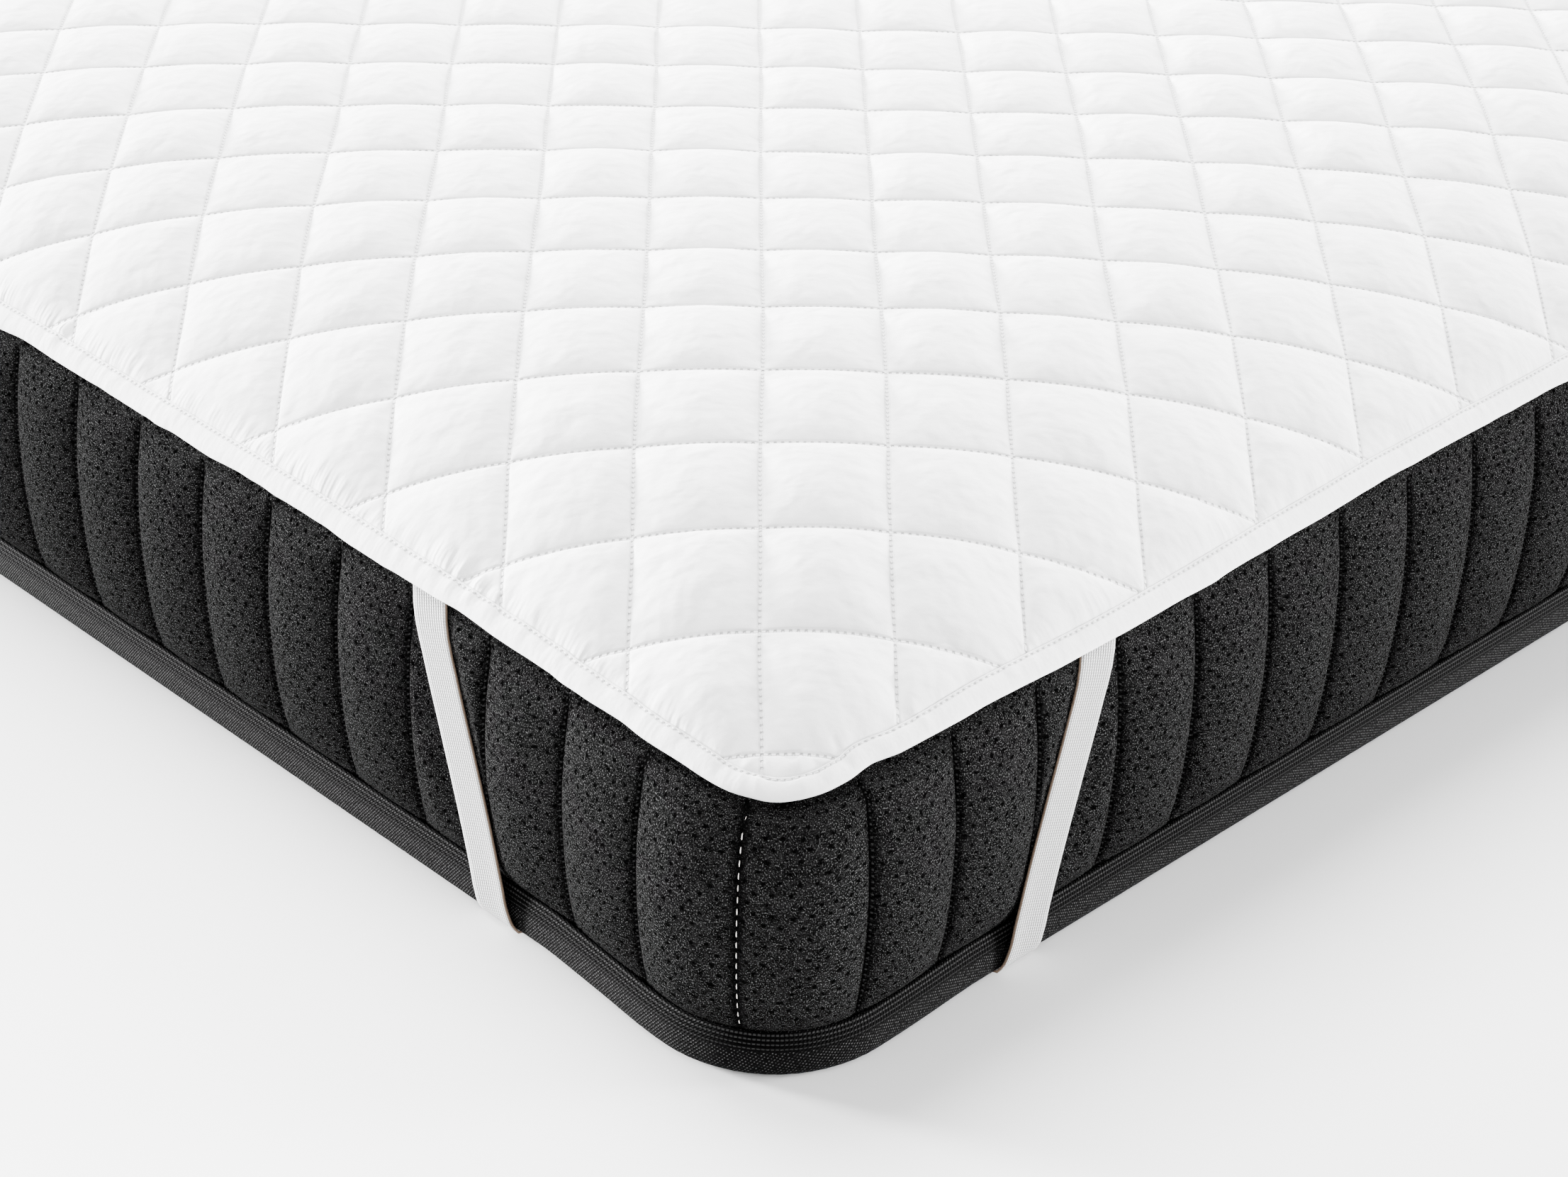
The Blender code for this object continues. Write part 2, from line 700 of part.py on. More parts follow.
def elastic_sections(side, on_side):
    """Cross lines of one upright stretch, as (from_side, from_end, height) triples."""
    lean = (side.top_reach - side.foot_reach) / (elastic_height(side, 0.0) - ELASTIC_FOOT_Z)
    half = ELASTIC_WIDTH / 2 * math.sqrt(1 + lean * lean)
    sections = []
    for row in ELASTIC_ROWS:
        reach = side.top_reach + (side.foot_reach - side.top_reach) * row.down
        height = elastic_height(side, row.down)
        line = []
        for across, lift, spread in ((1, 0.0, 0.0), (-1, row.lift, row.spread)):
            along = reach + across * half - spread
            inward = -(row.out + lift)
            line.append((inward, along, height) if on_side else (along, inward, height))
        sections.append(line)
    return sections


def under_section(share):
    """A cross line of the stretch under the bed, square to its run."""
    start = Vector((ELASTIC_ON_END.foot_reach, 0.0))
    end = Vector((0.0, ELASTIC_ON_SIDE.foot_reach))
    run = end - start
    across = Vector((run.y, -run.x)).normalized() * ELASTIC_WIDTH / 2
    middle = start + run * share
    return [(*(middle + across * step), ELASTIC_UNDER_Z) for step in (-1, 1)]


def build_elastic(name, side_x, side_y, material):
    down = elastic_sections(ELASTIC_ON_END, False)
    up = elastic_sections(ELASTIC_ON_SIDE, True)
    turn_in = [under_edge_section(ELASTIC_ON_END, inset, False) for inset in ELASTIC_TURN_INS]
    turn_out = [under_edge_section(ELASTIC_ON_SIDE, inset, True) for inset in ELASTIC_TURN_INS]
    under = [under_section(share) for share in UNDER_SHARES]
    sections = down + turn_in + under + turn_out[::-1] + up[::-1]
    points, faces = [], []
    for line in sections:
        for from_side, from_end, height in line:
            place = corner_place(side_x, side_y, from_side, from_end)
            points.append((place.x, place.y, height))
    for row in range(len(sections) - 1):
        start = row * 2
        faces.append((start, start + 1, start + 3, start + 2))
    strap = add_object(name, points, faces, material)
    thicken = strap.modifiers.new("thickness", "SOLIDIFY")
    thicken.thickness = ELASTIC_THICKNESS
    thicken.offset = 0.0
    strap.modifiers.new("flat_faces", "TRIANGULATE")


def under_edge_section(side, inset, on_side):
    """A cross line just inside the bottom edge, where the elastic starts along the diagonal."""
    last = ELASTIC_ROWS[-1]
    half = ELASTIC_WIDTH / 2
    line = []
    for across, spread in ((1, 0.0), (-1, last.spread)):
        along = side.foot_reach + across * half - spread - inset
        line.append((inset, along, ELASTIC_UNDER_Z) if on_side else (along, inset, ELASTIC_UNDER_Z))
    return line


def main():
    remove_scene_objects()
    pad_cloth = make_material("pad_cloth", (0.86, 0.86, 0.86), 0.85)
    binding_cloth = make_material("binding_cloth", (0.88, 0.88, 0.88), 0.80)
    elastic_web = make_material("elastic_web", (0.85, 0.85, 0.85), 0.75)
    border_knit = make_material("border_knit", (0.045, 0.045, 0.050), 0.92)
    tape_web = make_material("tape_web", (0.020, 0.020, 0.022), 0.80)
    core = core_plan()
    build_pad(core, pad_cloth)
    build_binding(binding_cloth)
    build_mattress(core, border_knit)
    build_tape(tape_web)
    corners = {"near_right": (1, -1), "far_right": (1, 1), "far_left": (-1, 1), "near_left": (-1, -1)}
    for corner, (side_x, side_y) in corners.items():
        build_elastic(f"corner_elastic_{corner}", side_x, side_y, elastic_web)


main()
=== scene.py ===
import math

import bmesh
import bpy
import numpy as np
from mathutils import Matrix, Vector
from mathutils.geometry import delaunay_2d_cdt


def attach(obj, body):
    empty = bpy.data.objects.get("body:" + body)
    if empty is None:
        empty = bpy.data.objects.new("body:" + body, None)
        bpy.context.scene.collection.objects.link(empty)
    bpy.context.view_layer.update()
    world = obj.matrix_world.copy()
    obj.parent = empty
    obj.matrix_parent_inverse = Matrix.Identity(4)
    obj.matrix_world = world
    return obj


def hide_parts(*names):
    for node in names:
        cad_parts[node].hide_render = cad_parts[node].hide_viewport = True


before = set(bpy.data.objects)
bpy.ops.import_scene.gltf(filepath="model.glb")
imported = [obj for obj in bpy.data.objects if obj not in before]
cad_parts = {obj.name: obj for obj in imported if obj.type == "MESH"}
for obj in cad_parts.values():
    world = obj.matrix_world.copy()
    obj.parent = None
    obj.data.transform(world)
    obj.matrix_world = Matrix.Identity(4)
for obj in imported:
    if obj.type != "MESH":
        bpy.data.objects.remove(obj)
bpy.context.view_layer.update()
print("frame loaded")

# metres, as in the solids: the origin is under the middle of the bed, on the floor

# the bed's outline, crown and dipped corners

bed = {
    "width": 1.400,
    "length": 2.000,
    "cornerRadius": 0.075,
    "edgeHeight": 0.200,         # of the pad's stitch lines at the bed's edge
    "crownRise": 0.077,          # from there to the middle of the bed
    "crownReach": 0.0975,
    "cornerDip": 0.035,
    "dipReach": 0.208,
    "cornerPull": 0.009,         # how far the elastics draw the pad's corners in
    "pullReach": 0.150,
    "tipDrop": 0.006,
    "tipReach": 0.050,
    "gridCounts": (15, 21),      # loose points across and along the large hidden faces
    # run from a corner's middle, and how far the bed's side and then the pad's edge stand out there
    "cornerFull": (
        (-0.170, 0.0), (-0.120, 0.0040), (-0.070, 0.0080), (-0.030, 0.0070), (0.0, 0.0060),
        (0.040, 0.0040), (0.080, 0.0030), (0.140, 0.0),
    ),
    "padFull": (
        (-0.160, 0.0), (-0.100, -0.0050), (-0.050, -0.0085), (-0.020, -0.0035), (0.0, -0.0015),
        (0.020, -0.0040), (0.037, -0.0070), (0.055, -0.0095), (0.080, -0.0050), (0.120, -0.0015),
        (0.170, 0.0010), (0.250, 0.0035), (0.350, 0.0025), (0.500, 0.0),
    ),
}
halfX = bed["width"] / 2
halfY = bed["length"] / 2
radius = bed["cornerRadius"]
sideRun = bed["length"] - 2 * radius
endRun = bed["width"] - 2 * radius
cornerRun = radius * math.pi / 2
perimeter = 2 * (sideRun + endRun) + 4 * cornerRun
weld = 1e-7                      # plan places nearer than this are one

# straight sides, anticlockwise from the near end of the +X side
# start, direction, length, run at the start
legs = (
    (Vector((halfX, radius - halfY)), Vector((0, 1)), sideRun, 0.0),
    (Vector((halfX - radius, halfY)), Vector((-1, 0)), endRun, sideRun + cornerRun),
    (Vector((-halfX, halfY - radius)), Vector((0, -1)), sideRun, sideRun + endRun + 2 * cornerRun),
    (Vector((radius - halfX, -halfY)), Vector((1, 0)), endRun, perimeter - endRun - cornerRun),
)


def runsRound(step, shift=0.0):
    # even runs round the whole bed, about a step apart
    count = round(perimeter / step)
    return (np.arange(count) + shift) * perimeter / count


def runPast(run, mark):
    # how far a run lies past a mark, the short way round
    return np.mod(run - mark + perimeter / 2, perimeter) - perimeter / 2


def standsOut(run, rows):
    # reads a table of the corners' fullness at the nearest corner
    middles = np.array([leg[3] for leg in legs]) - cornerRun / 2
    away = runPast(np.asarray(run)[..., None], middles)
    nearest = np.abs(away).argmin(-1)[..., None]
    places, values = np.array(rows).T
    return curveThrough(np.take_along_axis(away, nearest, -1)[..., 0], places, values)


def outlineAt(run):
    # places on the bed's side, and the way out from it, for an array of runs
    run = np.mod(np.asarray(run, float), perimeter)
    place = np.zeros((len(run), 2))
    out = np.zeros((len(run), 2))
    for start, along, straight, begins in legs:
        start, along = np.array(start), np.array(along)
        outward = np.array((along[1], -along[0]))
        t = run - begins
        on = (t >= 0) & (t <= straight)
        place[on] = start + along * t[on, None]
        out[on] = outward
        turned = (t - straight) / radius
        at = (turned > 0) & (turned < math.pi / 2)
        normal = outward * np.cos(turned[at, None]) + along * np.sin(turned[at, None])
        place[at] = start + along * straight - outward * radius + normal * radius
        out[at] = normal
    return place + out * standsOut(run, bed["cornerFull"])[:, None], out


def outlineOf(x, y):
    # how far inside the outline a plan place lies, and the run nearest to it
    qx = np.abs(x) - (halfX - radius)
    qy = np.abs(y) - (halfY - radius)
    inCorner = (qx > 0) & (qy > 0)
    inset = np.where(inCorner, radius - np.hypot(qx, qy), radius - np.maximum(qx, qy))
    fromX = np.arctan2(qy, qx) * radius
    fromY = np.arctan2(qx, qy) * radius
    right, back = x > 0, y > 0
    onX = qx > qy
    straightRun = np.where(
        onX,
        np.where(right, y + halfY - radius, legs[2][3] + halfY - radius - y),
        np.where(back, legs[1][3] + halfX - radius - x, legs[3][3] + halfX - radius + x),
    )
    turnRun = np.where(
        right,
        np.where(back, sideRun + fromX, legs[3][3] + endRun + fromY),
        np.where(back, legs[1][3] + endRun + fromY, legs[2][3] + sideRun + fromX),
    )
    return inset, np.where(inCorner, turnRun, straightRun)


def pullAt(x, y):
    # the elastics draw the pad's edge in near the corners
    reach = (halfX - np.abs(x)) + (halfY - np.abs(y))
    return bed["cornerPull"] * np.exp(-reach / bed["pullReach"])


def padEdge(run, inset):
    place, out = outlineAt(run)
    inset = inset - standsOut(run, bed["padFull"])
    x = place[:, 0] - out[:, 0] * inset
    y = place[:, 1] - out[:, 1] * inset
    pull = pullAt(x, y)
    return x - np.copysign(pull, x), y - np.copysign(pull, y)


def padOutlineOf(x, y):
    # as outlineOf, for the pad's own edge
    shape = np.shape(x)
    x, y = np.ravel(x), np.ravel(y)
    ux, uy = x, y
    for _ in range(3):
        pull = pullAt(ux, uy)
        ux, uy = x + np.copysign(pull, x), y + np.copysign(pull, y)
    x, y = ux, uy
    for _ in range(4):
        _, run = outlineOf(ux, uy)
        _, out = outlineAt(run)
        full = standsOut(run, bed["cornerFull"]) + standsOut(run, bed["padFull"])
        ux, uy = x - out[:, 0] * full, y - out[:, 1] * full
    inset, run = outlineOf(ux, uy)
    return inset.reshape(shape), run.reshape(shape)


def stitchHeight(x, y):
    fromSide = np.maximum(halfX - np.abs(x), 0)
    fromEnd = np.maximum(halfY - np.abs(y), 0)
    rise = (1 - np.exp(-fromSide / bed["crownReach"])) * (1 - np.exp(-fromEnd / bed["crownReach"]))
    dip = bed["cornerDip"] * np.exp(-(fromSide + fromEnd) / bed["dipReach"])
    dip = dip + bed["tipDrop"] * np.exp(-(fromSide + fromEnd) / bed["tipReach"])
    return bed["edgeHeight"] + bed["crownRise"] * rise - dip


# small tools for uneven cloth

def eased(t):
    t = np.clip(t, 0, 1)
    return t * t * (3 - 2 * t)


def wavesAlong(run, pitch, seed):
    # smooth random swings round the bed, about one to each pitch
    count = round(perimeter / pitch)
    knots = np.random.default_rng(seed).uniform(-1, 1, count)
    s = np.mod(run, perimeter) / perimeter * count
    k = np.floor(s).astype(int)
    f = eased(s - k)
    return knots[k % count] * (1 - f) + knots[(k + 1) % count] * f


def wavesOver(x, y, pitch, seed):
    # the same over a plan
    size = 97
    table = np.random.default_rng(seed).uniform(-1, 1, (size, size))
    u, v = x / pitch, y / pitch
    i, j = np.floor(u).astype(int), np.floor(v).astype(int)
    f, g = eased(u - i), eased(v - j)
    a, b = table[i % size, j % size], table[(i + 1) % size, j % size]
    c, d = table[i % size, (j + 1) % size], table[(i + 1) % size, (j + 1) % size]
    return (a * (1 - f) + b * f) * (1 - g) + (c * (1 - f) + d * f) * g


def curveThrough(at, places, values):
    # a smooth curve through the rows of a short table
    places, values = np.asarray(places, float), np.asarray(values, float)
    slopes = np.gradient(values, places)
    k = np.clip(np.searchsorted(places, at, side="right") - 1, 0, len(places) - 2)
    width = places[k + 1] - places[k]
    t = np.clip((at - places[k]) / width, 0, 1)
    a = values[k] * (2 * t**3 - 3 * t**2 + 1) + values[k + 1] * (3 * t**2 - 2 * t**3)
    return a + width * (slopes[k] * (t**3 - 2 * t**2 + t) + slopes[k + 1] * (t**3 - t**2))


def makePiece(name, points, faces, corners, material):
    # corners: a (u, v) in metres for each face corner, in the faces' order
    mesh = bpy.data.meshes.new(name)
    places = [tuple(place) for place in np.reshape(points, (-1, 3))]
    mesh.from_pydata(places, [], [tuple(face) for face in faces])
    layer = mesh.uv_layers.new(name="cloth")
    layer.data.foreach_set("uv", np.asarray(corners, np.float32).ravel())
    mesh.materials.append(material)
    work = bmesh.new()
    work.from_mesh(mesh)
    bmesh.ops.recalc_face_normals(work, faces=work.faces)
    work.to_mesh(mesh)
    work.free()
    mesh.shade_smooth()
    piece = bpy.data.objects.new(name, mesh)
    bpy.context.scene.collection.objects.link(piece)
    return piece


def finishPiece(piece, slot, *nodes):
    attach(piece, "root")
    if nodes:
        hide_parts(*nodes)


def sweptFaces(u, v, closedRows=True, closedColumns=True):
    # quads over a grid of points, and the cloth coordinates of their corners
    # a closed way has one more coordinate than points
    u, v = np.broadcast_arrays(u, v)
    rows, columns = u.shape[0] - closedRows, u.shape[1] - closedColumns
    i, j = np.indices((u.shape[0] - 1, u.shape[1] - 1)).reshape(2, -1)
    ni, nj = (i + 1) % rows, (j + 1) % columns
    faces = np.stack((i * columns + j, ni * columns + j, ni * columns + nj, i * columns + nj), 1)
    corners = [(w[i, j], w[i + 1, j], w[i + 1, j + 1], w[i, j + 1]) for w in (u, v)]
    return faces, np.transpose(corners, (2, 1, 0))


def lengthAlong(section):
    # distance along a section's points
    steps = np.linalg.norm(np.diff(section, axis=0), axis=1)
    return np.concatenate(((0,), np.cumsum(steps)))


def roundFaces(run, section):
    # a closed section swept round the whole bed
    section = np.array((*section, section[0]))
    return sweptFaces(np.append(run, perimeter)[:, None], lengthAlong(section))


def planGrid(inset):
    # loose places for the large faces, kept in from the bed's edge
    x, y = (np.linspace(inset - half, half - inset, count)
            for half, count in zip((halfX, halfY), bed["gridCounts"]))
    return np.stack(np.meshgrid(x, y, indexing="ij"), 2).reshape(-1, 2)


def ringLinks(count):
    return [(k, (k + 1) % count) for k in range(count)]


def fillRing(points, ring, loose, heights, flipped=False):
    # closes a ring of points over loose plan places; gives all points and the new faces
    plan = [Vector(place) for place in np.concatenate((points[ring][:, :2], loose))]
    _, _, faces, sources, _, _ = delaunay_2d_cdt(plan, ringLinks(len(ring)), [], 1, weld)
    numbers = np.concatenate((ring, np.arange(len(loose)) + len(points)))
    order = -1 if flipped else 1
    faces = [tuple(numbers[sources[k][0]] for k in face[::order]) for face in faces]
    return np.concatenate((points, np.column_stack((loose, heights)))), faces


def stepsAcross(steps, width):
    # mesh lines close beside the seams on both sides, and one halfway
    return np.array([*steps, width / 2, *(width - step for step in reversed(steps[1:]))])


def unit(vectors):
    return vectors / np.linalg.norm(vectors, axis=1)[:, None]


# shader maths

class Wire:
    # a socket of a node tree: sums on it add Math nodes
    def __init__(self, tree, socket=None):
        self.tree = tree
        self.socket = socket

    def node(self, kind, settings=None, inputs=None, output=0):
        made = self.tree.nodes.new(kind)
        for name, value in (settings or {}).items():
            setattr(made, name, value)
        for name, value in (inputs or {}).items():
            if isinstance(value, Wire):
                self.tree.links.new(value.socket, made.inputs[name])
            else:
                made.inputs[name].default_value = value
        return Wire(self.tree, made.outputs[output])

    def sum(self, operation, *values):
        return self.node("ShaderNodeMath", {"operation": operation}, dict(enumerate(values)))

    def __add__(self, other):
        return self.sum("ADD", self, other)

    __radd__ = __add__

    def __sub__(self, other):
        return self.sum("SUBTRACT", self, other)

    def __rsub__(self, other):
        return self.sum("SUBTRACT", other, self)

    def __mul__(self, other):
        return self.sum("MULTIPLY", self, other)

    __rmul__ = __mul__

    def __truediv__(self, other):
        return self.sum("DIVIDE", self, other)

    def __abs__(self):
        return self.sum("ABSOLUTE", self)

    def floor(self):
        return self.sum("FLOOR", self)

    def repeat(self, pitch):
        # 0 to 1 over each pitch
        return self.sum("FRACT", self / pitch)

    def toLine(self, pitch):
        # distance to the nearest of lines a pitch apart
        return abs(self.sum("FRACT", self / pitch + 0.5) - 0.5) * pitch

    def between(self, low, high):
        # 0 at low, 1 at high, smooth between
        inputs = {"Value": self, "From Min": low, "From Max": high}
        return self.node("ShaderNodeMapRange", {"interpolation_type": "SMOOTHSTEP"}, inputs)

    def within(self, near, far):
        # 1 up to near, 0 past far
        return 1 - self.between(near, far)

    def vector(self, x, y):
        return self.node("ShaderNodeCombineXYZ", None, {"X": x, "Y": y})

    def parts(self):
        # x and y of a vector
        return [self.node("ShaderNodeSeparateXYZ", None, {"Vector": self}, k) for k in (0, 1)]

    def noise(self, where, scale=1.0, detail=2.0, roughness=0.5):
        inputs = {"Vector": where, "Scale": scale, "Detail": detail, "Roughness": roughness}
        return self.node("ShaderNodeTexNoise", None, inputs)

    def mix(self, share, first, second):
        inputs = {0: share, 6: first, 7: second}
        return self.node("ShaderNodeMix", {"data_type": "RGBA"}, inputs, 2)

    def coated(self, *coats):
        # this colour under coats of others, each with its share
        shade = self
        for share, colour in coats:
            shade = self.mix(share, shade, colour)
        return shade


def grey(value, warm=0.0):
    return (value * (1 + warm), value, value * (1 - warm), 1)


def newMaterial(name, settings):
    material = bpy.data.materials.new(name)
    material.use_nodes = True
    for socket, value in settings.items():
        material.node_tree.nodes["Principled BSDF"].inputs[socket].default_value = value
    return material


def startCloth(name, settings):
    # a new material, with its wire and its cloth coordinates
    material = newMaterial(name, settings)
    wire = Wire(material.node_tree)
    u, v = wire.node("ShaderNodeUVMap", {"uv_map": "cloth"}).parts()
    return material, wire, u, v


def endCloth(material, colour, height):
    # height is in metres
    inputs = {"Strength": 1.0, "Distance": 1.0, "Height": height}
    bump = colour.node("ShaderNodeBump", None, inputs)
    shader = material.node_tree.nodes["Principled BSDF"]
    material.node_tree.links.new(colour.socket, shader.inputs["Base Color"])
    material.node_tree.links.new(bump.socket, shader.inputs["Normal"])


# the quilted pad

bindingWidth = 0.0140

pad = {
    "cellAlong": 0.0747,
    "cellAcross": 0.0730,
    "turn": math.radians(45 + 1.45),
    "cornerX": 0.0522,           # first crossing of the quilting, in from the near corner
    "cornerY": 0.0362,
    "steps": (0.0, 0.0014, 0.0042, 0.0100, 0.0200),   # mesh lines out from each stitch line
    "pillow": 0.0090,
    "softness": 0.62,
    "uneven": 0.20,
    "edgePuff": 0.022,           # reach over which the pillows rise from the binding
    "wobble": 0.0016,
    "wobblePitch": 0.120,
    "wobbleFrom": 0.020,         # in from the edge, and the reach over which it sets in
    "wobbleOver": 0.060,
    "thickness": 0.0050,         # at the stitch lines
    "band": 0.047,               # border zone with its own finer mesh
    "edgeStep": 0.0022,
    "ringInsets": (0.0143, 0.0161, 0.0186, 0.0224, 0.0280, 0.0360),
    "ringSteps": (1, 1, 1, 1, 1.5, 2.3),
    "latticeGap": 0.0014,        # between the inner edge of the binding and the first quilt points
    "crowding": 0.0013,          # ring points keep this far from quilt points and seams
    # inset and height of the rim held inside the binding
    "rim": ((0.0140, -0.0009), (0.0055, -0.0014), (0.0055, -0.0030), (0.0140, -0.0044)),
    "puckerDepth": 0.0022,
    "puckerReach": 0.0085,
    "puckerPitch": 0.0052,
    "puckerPatches": 0.055,
    "puckersOnSides": 0.4,
    "puckersOnSeam": 0.35,       # their share at the seam, and where they are full
    "puckersFull": 0.0025,
    "stitch": 0.0042,
    # creases in the cloth: where they set in and are full, depth, and scale in x and y
    "endCreases": (0.028, 0.017, 0.0032, 190, 55),
    "sideCreases": (0.025, 0.017, 0.0010, 55, 190),
}
perCell = 2 * len(pad["steps"])


def sideShare(run, share):
    # a share on the two long sides, and the whole on the ends
    onEnds = (run > legs[3][3]) | ((run > legs[1][3]) & (run < legs[2][3]))
    return np.where(onEnds, 1.0, share)


def puckers(run):
    # creases that gather at the binding's stitching, in patches, deepest on the two ends
    pitch = pad["puckerPitch"]
    fine = wavesAlong(run, pitch, seed=3) + 0.5 * wavesAlong(run, 2.1 * pitch, seed=4)
    patches = 0.55 + 0.45 * wavesAlong(run, pad["puckerPatches"], seed=5)
    return fine * patches * sideShare(run, pad["puckersOnSides"])


def quiltToPlan(along, across):
    sine, cosine = math.sin(pad["turn"]), math.cos(pad["turn"])
    x = halfX - pad["cornerX"] - along * sine + across * cosine
    y = pad["cornerY"] - halfY + along * cosine + across * sine
    return x, y


def planToQuilt(x, y):
    sine, cosine = math.sin(pad["turn"]), math.cos(pad["turn"])
    fromX, fromY = x - halfX + pad["cornerX"], y + halfY - pad["cornerY"]
    return -fromX * sine + fromY * cosine, fromX * cosine + fromY * sine


def puffed(distance, reach):
    # 0 on a seam, steep beside it and flat at reach
    q = 1 - np.clip(distance / reach, 0, 1)
    return np.maximum(1 - q * q, 0) ** pad["softness"]


def padTop(along, across):
    # the top cloth's place for arrays of quilt coordinates
    x, y = quiltToPlan(along, across)
    inset, run = padOutlineOf(x, y)
    fromBinding = inset - bindingWidth
    cellA, cellC = pad["cellAlong"], pad["cellAcross"]
    row, column = np.floor(along / cellA), np.floor(across / cellC)
    toRow = np.abs(along - np.round(along / cellA) * cellA)
    toColumn = np.abs(across - np.round(across / cellC) * cellC)
    # each cell is a little more or less full, and leans its own way
    full = 1 + pad["uneven"] * wavesOver(row * 1.7 + 0.3, column * 1.3 + 0.6, 1.0, seed=11)
    lean = (along / cellA - row - 0.5) * wavesOver(row * 1.1, column * 1.9, 1.0, seed=12)
    lean = lean + (across / cellC - column - 0.5) * wavesOver(row * 1.9, column * 1.1, 1.0, seed=13)
    swell = puffed(toRow, cellA / 2) * puffed(toColumn, cellC / 2)
    swell = swell * puffed(fromBinding, pad["edgePuff"])
    rise = pad["pillow"] * swell * (full + pad["uneven"] * lean)
    near = np.exp(-np.maximum(fromBinding, 0) / pad["puckerReach"])
    least = pad["puckersOnSeam"]
    near = near * (least + (1 - least) * eased(fromBinding / pad["puckersFull"]))
    crease = pad["puckerDepth"] * puckers(run) * near
    # the stitch lines wander a little; the shift keeps the waves clear of 0
    loose = eased((inset - pad["wobbleFrom"]) / pad["wobbleOver"]) * pad["wobble"]
    shift = 3
    x = x + loose * wavesOver(x + shift, y + shift, pad["wobblePitch"], seed=21)
    y = y + loose * wavesOver(x + shift, y + shift, pad["wobblePitch"], seed=22)
    return np.stack((x, y, stitchHeight(x, y) + rise + crease), 1)


def latticeLines(cell, reach):
    low, high = math.floor(reach.min() / cell), math.ceil(reach.max() / cell)
    lines = np.arange(low, high)[:, None] * cell + stepsAcross(pad["steps"], cell)
    return np.append(lines, high * cell)


def padLattice():
    ends = np.array([planToQuilt(x, y) for x in (-halfX, halfX) for y in (-halfY, halfY)])
    return latticeLines(pad["cellAlong"], ends[:, 0]), latticeLines(pad["cellAcross"], ends[:, 1])


def edgeRing(run, inset, rise):
    x, y = padEdge(run, inset)
    return np.stack((x, y, stitchHeight(x, y) + rise), 1)


def ringPlan(inset, step):
    return np.stack(planToQuilt(*padEdge(runsRound(step), inset)), 1)


def toNearest(places, lines):
    k = np.clip(np.searchsorted(lines, places), 1, len(lines) - 1)
    return np.minimum(np.abs(places - lines[k - 1]), np.abs(lines[k] - places))


def awayFromLattice(places, spans):
    # leaves out ring points that crowd a quilt point or a seam
    toLines = [toNearest(way, lines) for way, lines in zip(places.T, spans)]
    toSeams = [toNearest(way, lines[::perCell]) for way, lines in zip(places.T, spans)]
    return places[(np.hypot(*toLines) > pad["crowding"]) & (np.minimum(*toSeams) > pad["crowding"])]


def allFour(marked):
    # cells of a grid with four marked corners
    return marked[:-1, :-1] & marked[1:, :-1] & marked[:-1, 1:] & marked[1:, 1:]


def padTopMesh():
    # whole quilt quads inside, triangles in the border zone
    # gives quilt places, faces, and the number of added points and of those on the edge
    spans = padLattice()
    rows, columns = len(spans[0]), len(spans[1])
    along, across = np.meshgrid(*spans, indexing="ij")
    inset, _ = padOutlineOf(*quiltToPlan(along, across))
    edgeInset = pad["ringInsets"][0]
    kept = inset > edgeInset + pad["latticeGap"]
    whole = allFour(inset > pad["band"])
    around = np.zeros((rows + 1, columns + 1), bool)
    around[1:-1, 1:-1] = whole
    edgePoint = kept & ~allFour(around)

    places = np.stack((along[kept], across[kept]), 1)
    number = np.full((rows, columns), -1)
    number[kept] = np.arange(len(places))
    quads = np.stack((number[:-1, :-1], number[1:, :-1], number[1:, 1:], number[:-1, 1:]), 2)[whole]

    rings = [ringPlan(edgeInset, pad["edgeStep"])]
    for ringInset, times in zip(pad["ringInsets"][1:], pad["ringSteps"][1:]):
        rings.append(awayFromLattice(ringPlan(ringInset, pad["edgeStep"] * times), spans))
    extra = np.concatenate(rings)
    band = number[edgePoint]
    local = np.full(len(places), -1)
    local[band] = np.arange(len(band)) + len(extra)

    # the triangles keep the edge, the seams and the rim of the whole quads
    links = ringLinks(len(rings[0]))
    seamRow = np.arange(rows)[:, None] % perCell == 0
    seamColumn = np.arange(columns)[None, :] % perCell == 0
    rimRow = around[1:, 1:-1] ^ around[:-1, 1:-1]
    rimColumn = around[1:-1, 1:] ^ around[1:-1, :-1]
    acrossLink = (seamRow & edgePoint[:, :-1] & edgePoint[:, 1:]) | rimRow
    alongLink = (seamColumn & edgePoint[:-1, :] & edgePoint[1:, :]) | rimColumn
    for first, second in (
        (number[:, :-1][acrossLink], number[:, 1:][acrossLink]),
        (number[:-1, :][alongLink], number[1:, :][alongLink]),
    ):
        links += list(zip(local[first].tolist(), local[second].tolist()))

    flat = np.concatenate((extra, places[band]))
    vectors = [Vector(place) for place in flat.tolist()]
    _, _, faces, sources, _, _ = delaunay_2d_cdt(vectors, links, [], 0, weld)
    source = np.array([s[0] if s else -1 for s in sources])
    faces = source[np.array([face for face in faces if len(face) == 3])]
    faces = faces[(faces >= 0).all(1)]
    middle = flat[faces].mean(1)
    middleInset, _ = padOutlineOf(*quiltToPlan(middle[:, 0], middle[:, 1]))
    i = np.clip(np.searchsorted(spans[0], middle[:, 0]) - 1, 0, rows - 2)
    j = np.clip(np.searchsorted(spans[1], middle[:, 1]) - 1, 0, columns - 2)
    sliver = 0.00015                                     # triangles that only cut the edge's curve
    faces = faces[(middleInset > edgeInset + sliver) & ~whole[i, j]]
    final = np.concatenate((np.arange(len(extra)) + len(places), band))
    places = np.concatenate((places, extra))
    # the lattice turns the other way from the plan, so the faces are reversed
    return places, [*quads[:, ::-1], *final[faces][:, ::-1]], len(extra), len(rings[0])


